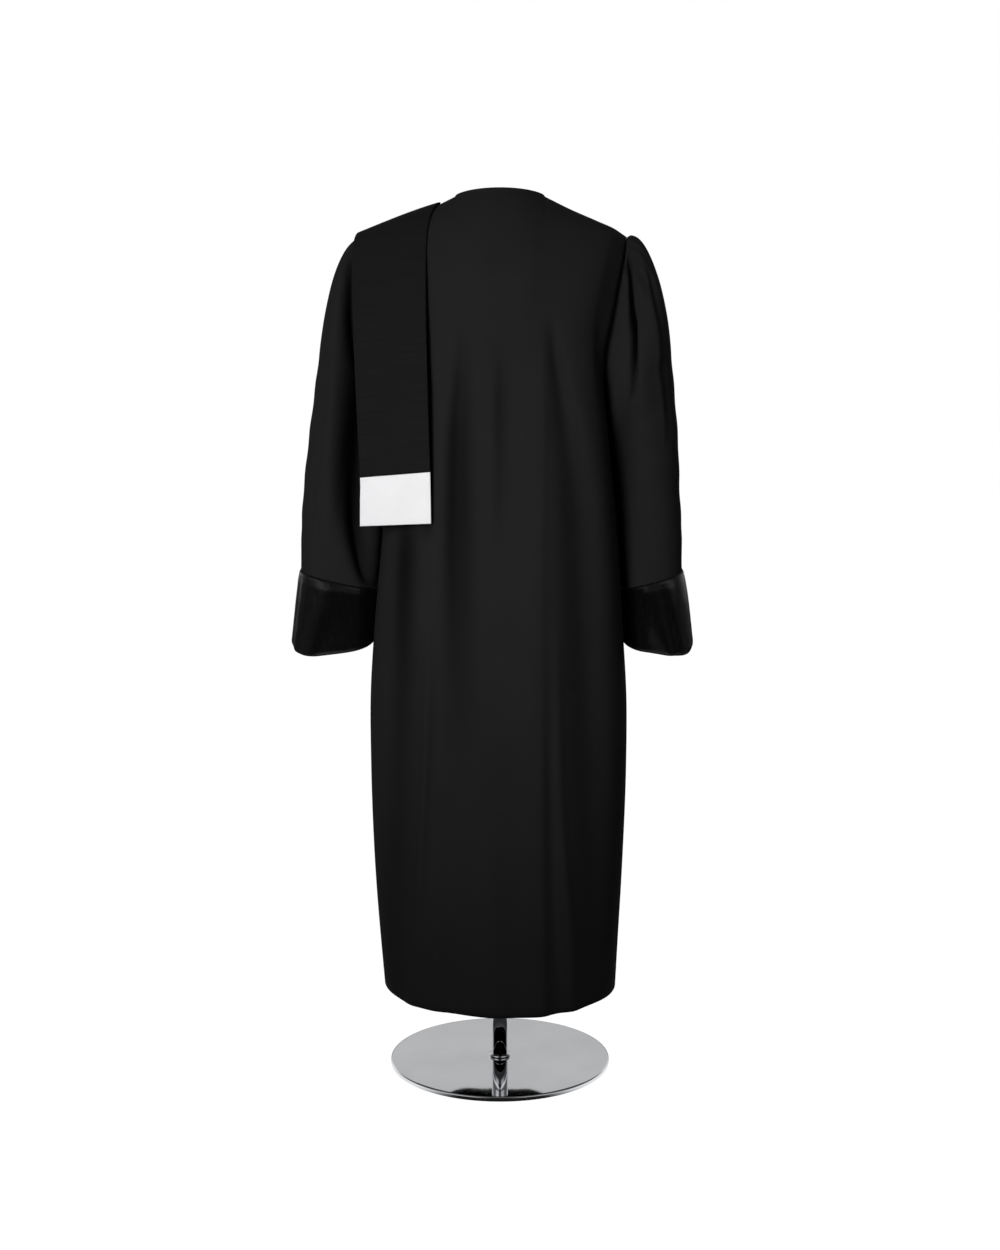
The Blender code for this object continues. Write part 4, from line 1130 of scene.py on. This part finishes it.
button = {
    "count": 9, "topZ": 1.290, "pitch": 0.118, "radius": 0.0075, "thick": 0.0032, "standoff": 0.0004,
    "dish": 0.0006, "rim": 0.00045, "rimAt": 0.78, "rimWide": 0.14, "edgeDrop": 0.0012, "edgeFrom": 0.86,
    "foot": ((0.0, 0.0008), (0.0010, 0.0)), "holeAt": 0.00133, "holeRadius": 0.00075, "holeDepth": 0.0014,
    "threadRadius": 0.00035, "rings": 26, "segments": 56,
    "holeWidth": 0.020, "slitHalf": 0.0007, "lipLift": 0.0001, "lipRadius": 0.0005,
}


def buttonFace(radius):
    # height of the button's face by distance from its middle: raised rim and dished middle
    share = radius / button["radius"]
    rim = button["rim"] * bell(share - button["rimAt"], button["rimWide"], button["rimWide"])
    edge = -button["edgeDrop"] * np.clip((share - button["edgeFrom"]) / (1 - button["edgeFrom"]), 0, 1) ** 2
    return button["thick"] - button["dish"] + rim + edge


def buttonPiece(name, middle, across, up, axis):
    turn = np.arange(button["segments"]) * 2 * np.pi / button["segments"]
    radii = np.linspace(0.0002, button["radius"], button["rings"])
    rings = []
    for r in radii:
        x = r * np.cos(turn)
        y = r * np.sin(turn)
        h = np.full(len(turn), buttonFace(r))
        for sx in (-1, 1):
            for sy in (-1, 1):
                distance = np.hypot(x - sx * button["holeAt"], y - sy * button["holeAt"])
                h = h - button["holeDepth"] * np.exp(-((distance / button["holeRadius"]) ** 4))
        rings.append(np.column_stack((x, y, h)))
    for inward, h in button["foot"]:
        r = button["radius"] - inward
        rings.append(np.column_stack((r * np.cos(turn), r * np.sin(turn), np.full(len(turn), h))))
    placed = [
        middle + ring[:, :1] * across + ring[:, 1:2] * up + (ring[:, 2:] + button["standoff"]) * axis
        for ring in rings
    ]
    return solidPiece(name, placed, buttonPlastic)


def threadBar(name, start, end, radius):
    axis = unit(end - start)
    side = unit(np.cross(axis, (0.13, 0.97, 0.21)))
    other = np.cross(axis, side)
    rings = []
    for share in np.linspace(0, 1, 9):
        width = radius * math.sqrt(max(0.02, 1 - abs(2 * share - 1) ** 3))
        rings.append(mix(start, end, share) + width * circle(side, other, 10))
    return solidPiece(name, rings, blackThread)


lineColumn = int(np.argmin(np.abs(leftShares)))
frontLine = leftGrid[:, lineColumn]
frontOut = leftOut[:, lineColumn]
for n in range(button["count"]):
    z = button["topZ"] - n * button["pitch"]
    middle = pointAt(z, frontLine[:, 2], frontLine)
    axis = unit(pointAt(z, frontLine[:, 2], frontOut))
    across = unit(np.cross((0, 0, 1), axis))
    up = np.cross(axis, across)
    disc = buttonPiece("closingButton%d" % (n + 1), middle, across, up, axis)
    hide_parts("button_%d" % (n + 1))
    level = button["standoff"] + button["thick"] - button["dish"]
    at = button["holeAt"]
    for letter, side in (("a", -1), ("b", 1)):
        low = middle + across * side * at - up * at + axis * level
        high = middle + across * side * at + up * at + axis * level
        threadBar("buttonThread%d%s" % (n + 1, letter), low, high, button["threadRadius"])
    # buttonhole: two corded lips beside the slit, which the button partly hides
    reach = across * button["holeWidth"] / 2
    for letter, side in (("a", -1), ("b", 1)):
        lip = middle + up * side * button["slitHalf"] + axis * button["lipLift"]
        threadBar("buttonholeLip%d%s" % (n + 1, letter), lip - reach, lip + reach, button["lipRadius"])
print("buttons made")


# dress form, finer than its solid

form = {
    "z": (0.790, 0.798, 0.840, 0.920, 1.000, 1.090),
    "halfWidth": (0.140, 0.155, 0.161, 0.150, 0.128, 0.143),
    "back": (0.092, 0.103, 0.112, 0.107, 0.088, 0.100),
    "front": (0.088, 0.098, 0.104, 0.095, 0.084, 0.106),
    "power": 2.3, "edgeTop": 0.800, "edgeLevels": 8, "columns": 81, "levels": 46, "yokeRows": 40,
    "shoulderDrop": 0.0036, "tip": 0.182, "neckHalfWidth": 0.060, "ridge": 0.0015,
    "neckBack": 0.038, "neckFront": 0.050, "neckZ": 1.380, "neckSlope": 55, "neckReach": 0.070,
    "dipDepth": 0.010, "dipFrom": 0.088, "dipTo": 0.062, "turnEnd": 0.97,
    "shoulderLead": 0.010, "bulgeInside": 0.014, "riseInside": 0.012,
}


def formColumn(share):
    halves = []
    edgeLevels = np.linspace(form["z"][0], form["edgeTop"], form["edgeLevels"])[:-1]
    levels = np.concatenate((edgeLevels, np.linspace(form["edgeTop"], underarmZ, form["levels"])))
    deep = np.clip(1 - abs(share) ** form["power"], 0, 1) ** (1 / form["power"])
    lowerX = share * along(form["z"], form["halfWidth"], levels)
    for side, sign, depth in (("back", 1, form["neckBack"]), ("front", -1, form["neckFront"])):
        lower = np.column_stack((lowerX, along(form["z"], form[side], levels) * deep, levels))
        t = np.linspace(0, 1, form["yokeRows"] + 1)[1:]
        startY = lower[-1, 1]
        topX = share * form["tip"]
        within = math.sqrt(max(0, 1 - (topX / form["neckHalfWidth"]) ** 2))
        shoulderZ = along(body["shoulderX"], body["shoulderZ"], abs(topX)) - form["shoulderDrop"]
        shoulderZ = shoulderZ - form["dipDepth"] * ramp(-form["dipFrom"], -form["dipTo"], -abs(topX))
        endY = mix(form["ridge"], depth, within)
        endZ = mix(shoulderZ, form["neckZ"], ramp(0, 0.6, within))
        slope = math.radians(form["neckSlope"]) * within
        lead = body["shoulderReach"] * startY + form["shoulderLead"]
        reach = mix(lead, form["neckReach"], within)
        atArm = ramp(body["armFrom"], 1, abs(share))
        bulge = mix(startY, body["armBulge"] - form["bulgeInside"], atArm)
        y = bezier(startY, bulge, endY + reach * math.cos(slope), endY, t)
        rise = mix(body["yokeRise"] - form["riseInside"], body["armRise"], atArm)
        z = bezier(underarmZ, underarmZ + rise, endZ - reach * math.sin(slope), endZ, t)
        upper = np.column_stack((mix(lower[-1, 0], topX, t), y, z))
        half = np.concatenate((lower, upper))
        half[:, 1] = sign * np.maximum(half[:, 1], form["ridge"])
        halves.append(half)
    return np.concatenate((halves[0], halves[1][::-1]))


turns = np.linspace(-form["turnEnd"], form["turnEnd"], form["columns"])
formColumns = [formColumn(math.sin(math.pi / 2 * turn)) for turn in turns]
torso = solidPiece("formTorso", formColumns, formCloth)
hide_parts("form_torso")
print("form made")


# stand: base disc, collar and pole

stand = {
    "baseRadius": 0.180, "baseThick": 0.008, "baseEdge": 0.0022, "baseSegments": 192,
    "collarRadius": 0.0175, "collarThick": 0.004, "collarEdge": 0.0014,
    "poleRadius": 0.0128, "poleTop": 0.7897, "poleRings": 12, "segments": 96,
}


def rimmedDisc(name, radius, low, high, edge, segments):
    # under side, rounded rim and upper side, turned round the stand's axis
    flat = radius - edge
    shares = (0.05, 0.4, 0.8, 0.97, 0.995)
    outline = [(flat * share, low) for share in shares]
    for level, start in ((low + edge, -math.pi / 2), (high - edge, 0)):
        for a in np.linspace(start, start + math.pi / 2, 6):
            outline.append((flat + edge * math.cos(a), level + edge * math.sin(a)))
    outline += [(flat * share, high) for share in shares[::-1]]
    return solidPiece(name, turned(outline, segments), chrome)


base = ("baseDisc", stand["baseRadius"], 0.0, stand["baseThick"], stand["baseEdge"], stand["baseSegments"])
disc = rimmedDisc(*base)
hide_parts("base_disc")
collarLow = stand["baseThick"] + seamGap
collarHigh = collarLow + stand["collarThick"]
ring = ("poleCollar", stand["collarRadius"], collarLow, collarHigh, stand["collarEdge"], stand["segments"])
collar = rimmedDisc(*ring)
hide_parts("pole_collar")
poleLevels = np.linspace(collarHigh + seamGap, stand["poleTop"], stand["poleRings"])
poleProfile = [(stand["poleRadius"], z) for z in poleLevels]
pole = solidPiece("standPole", turned(poleProfile, stand["segments"]), chrome)
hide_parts("pole")
print("stand made")


# sleeve and cuff pieces looked up again by name; the girths and reaches listed with them are not used


for hand, girth, reach, cuffGirth in (("left", 0.565, 0.68, 0.46), ("right", 0.59, 0.67, 0.43)):
    tube = bpy.data.objects[hand + "Sleeve"]
    turnBack = bpy.data.objects[hand + "Cuff"]


# camera, floor and light

view = {"distance": 2.7, "height": 1.025, "pitch": 6.37, "lens": 48.68, "sensor": 36.0}
# Brightness by direction: fill and top light, paper behind, a box at each side; ranges are from none to full
studio = {
    "fill": 0.05, "top": 0.25, "topFrom": (0.55, 0.95), "backdrop": 1.0,
    "paper": 0.70, "paperBehind": (0.55, 0.80), "paperAbove": (0.25, 0.33),
    "leftBox": 1.0, "leftFrom": (0.14, 0.50), "rightBox": 0.75, "rightFrom": (0.10, 0.46),
    "boxHeight": (0.50, 0.35), "boxEnds": (0.96, 0.70), "endLight": 0.15,
    "keyEnergy": 4.15, "keySize": 1.0, "keySpread": 36, "keyAim": (0.0, 0.0, 0.95),
    "keysAt": ((1.15, 2.75, 1.35), (-1.15, -2.75, 1.35)),
    "floorHalf": 30, "floorDrop": 0.0005, "floorSeen": 1.0, "floorBounce": 0.08,
    "streak": (0.07, 0.15), "streakEnd": (0.42, 0.26), "streakLight": 0.12, "streakReach": 0.9,
}


def makeCamera():
    data = bpy.data.cameras.new("photoCamera")
    data.sensor_fit = "VERTICAL"
    data.sensor_height = view["sensor"]
    data.lens = view["lens"]
    camera = bpy.data.objects.new("photoCamera", data)
    camera.location = (0, view["distance"], view["height"])
    camera.rotation_euler = (math.radians(90 - view["pitch"]), 0, math.radians(180))
    bpy.context.scene.collection.objects.link(camera)
    bpy.context.scene.camera = camera


def makeFloor():
    half = studio["floorHalf"]
    corners = [(-half, -half, 0), (half, -half, 0), (half, half, 0), (-half, half, 0)]
    mesh = bpy.data.meshes.new("studioFloor")
    mesh.from_pydata(corners, [], [(0, 1, 2, 3)])
    floor = bpy.data.objects.new("studioFloor", mesh)
    bpy.context.scene.collection.objects.link(floor)
    floor.location.z = -studio["floorDrop"]
    bounce = (studio["floorBounce"],) * 3
    material, tree, shader = newMaterial("paleFloor", {"dark": bounce, "roughness": 0.9, "specular": 0.0})
    shader.inputs["Emission Strength"].default_value = 1.0
    # white paper to the camera; the chrome also mirrors a strip of it at each side of the stand
    rays = tree.nodes.new("ShaderNodeLightPath").outputs
    x, y = newCoords(tree, "Object")[1][:2]
    aside = mathNode(tree, "ABSOLUTE", x)
    strips = mathNode(tree, "MULTIPLY", stretch(tree, aside, *studio["streak"]),
                      stretch(tree, aside, *studio["streakEnd"], studio["streakLight"], 1.0))
    ahead = mathNode(tree, "LESS_THAN", mathNode(tree, "ABSOLUTE", y), studio["streakReach"])
    mirrored = mathNode(tree, "MULTIPLY", rays["Is Glossy Ray"], mathNode(tree, "MULTIPLY", strips, ahead))
    seen = mathNode(tree, "MAXIMUM", rays["Is Camera Ray"], mirrored)
    paper = (studio["floorSeen"],) * 3
    tree.links.new(mixColours(tree, seen, (0, 0, 0), paper), shader.inputs["Emission Color"])
    mesh.materials.append(material)


def makeWorld():
    # dim studio: paper behind the robe, a soft box at each side and a little light from above
    world = bpy.data.worlds.new("paleStudio")
    bpy.context.scene.world = world
    world.use_nodes = True
    tree = world.node_tree
    tree.nodes.clear()
    x, y, z = newCoords(tree, "Generated")[1]
    above = stretch(tree, z, *studio["topFrom"], studio["fill"], studio["top"])
    ahead = mathNode(tree, "MULTIPLY", y, -1.0)
    behind = stretch(tree, ahead, *studio["paperBehind"], 0.0, studio["paper"])
    paper = mathNode(tree, "MULTIPLY", behind, stretch(tree, z, *studio["paperAbove"]))
    leftBox = stretch(tree, x, *studio["leftFrom"], 0.0, studio["leftBox"])
    toRight = mathNode(tree, "MULTIPLY", x, -1.0)
    rightBox = stretch(tree, toRight, *studio["rightFrom"], 0.0, studio["rightBox"])
    ends = stretch(tree, mathNode(tree, "ABSOLUTE", x), *studio["boxEnds"], studio["endLight"], 1.0)
    band = stretch(tree, mathNode(tree, "ABSOLUTE", z), *studio["boxHeight"])
    shape = mathNode(tree, "MULTIPLY", band, ends)
    boxes = mathNode(tree, "MULTIPLY", mathNode(tree, "ADD", leftBox, rightBox), shape)
    light = mathNode(tree, "ADD", mathNode(tree, "ADD", above, paper), boxes)
    path = tree.nodes.new("ShaderNodeLightPath")
    lit = tree.nodes.new("ShaderNodeBackground")
    tree.links.new(light, lit.inputs["Strength"])
    plain = tree.nodes.new("ShaderNodeBackground")
    plain.inputs["Color"].default_value = (1, 1, 1, 1)
    plain.inputs["Strength"].default_value = studio["backdrop"]
    choice = tree.nodes.new("ShaderNodeMixShader")
    tree.links.new(path.outputs["Is Camera Ray"], choice.inputs[0])
    tree.links.new(lit.outputs[0], choice.inputs[1])
    tree.links.new(plain.outputs[0], choice.inputs[2])
    end = tree.nodes.new("ShaderNodeOutputWorld")
    tree.links.new(choice.outputs[0], end.inputs[0])


def makeKey(name, place):
    data = bpy.data.lights.new(name, "AREA")
    data.energy = studio["keyEnergy"]
    data.size = studio["keySize"]
    data.spread = math.radians(studio["keySpread"])
    key = bpy.data.objects.new(name, data)
    key.location = place
    # satin and chrome mirror the paper and the side boxes only
    key.visible_glossy = False
    target = np.array(studio["keyAim"]) - np.array(key.location)
    key.rotation_euler = (
        math.acos(-target[2] / np.linalg.norm(target)), 0, math.atan2(-target[0], target[1]),
    )
    bpy.context.scene.collection.objects.link(key)


makeCamera()
makeFloor()
makeWorld()
for name, place in zip(("backKey", "frontKey"), studio["keysAt"]):
    makeKey(name, place)
bpy.context.scene.view_settings.view_transform = "Standard"
print("stage set")
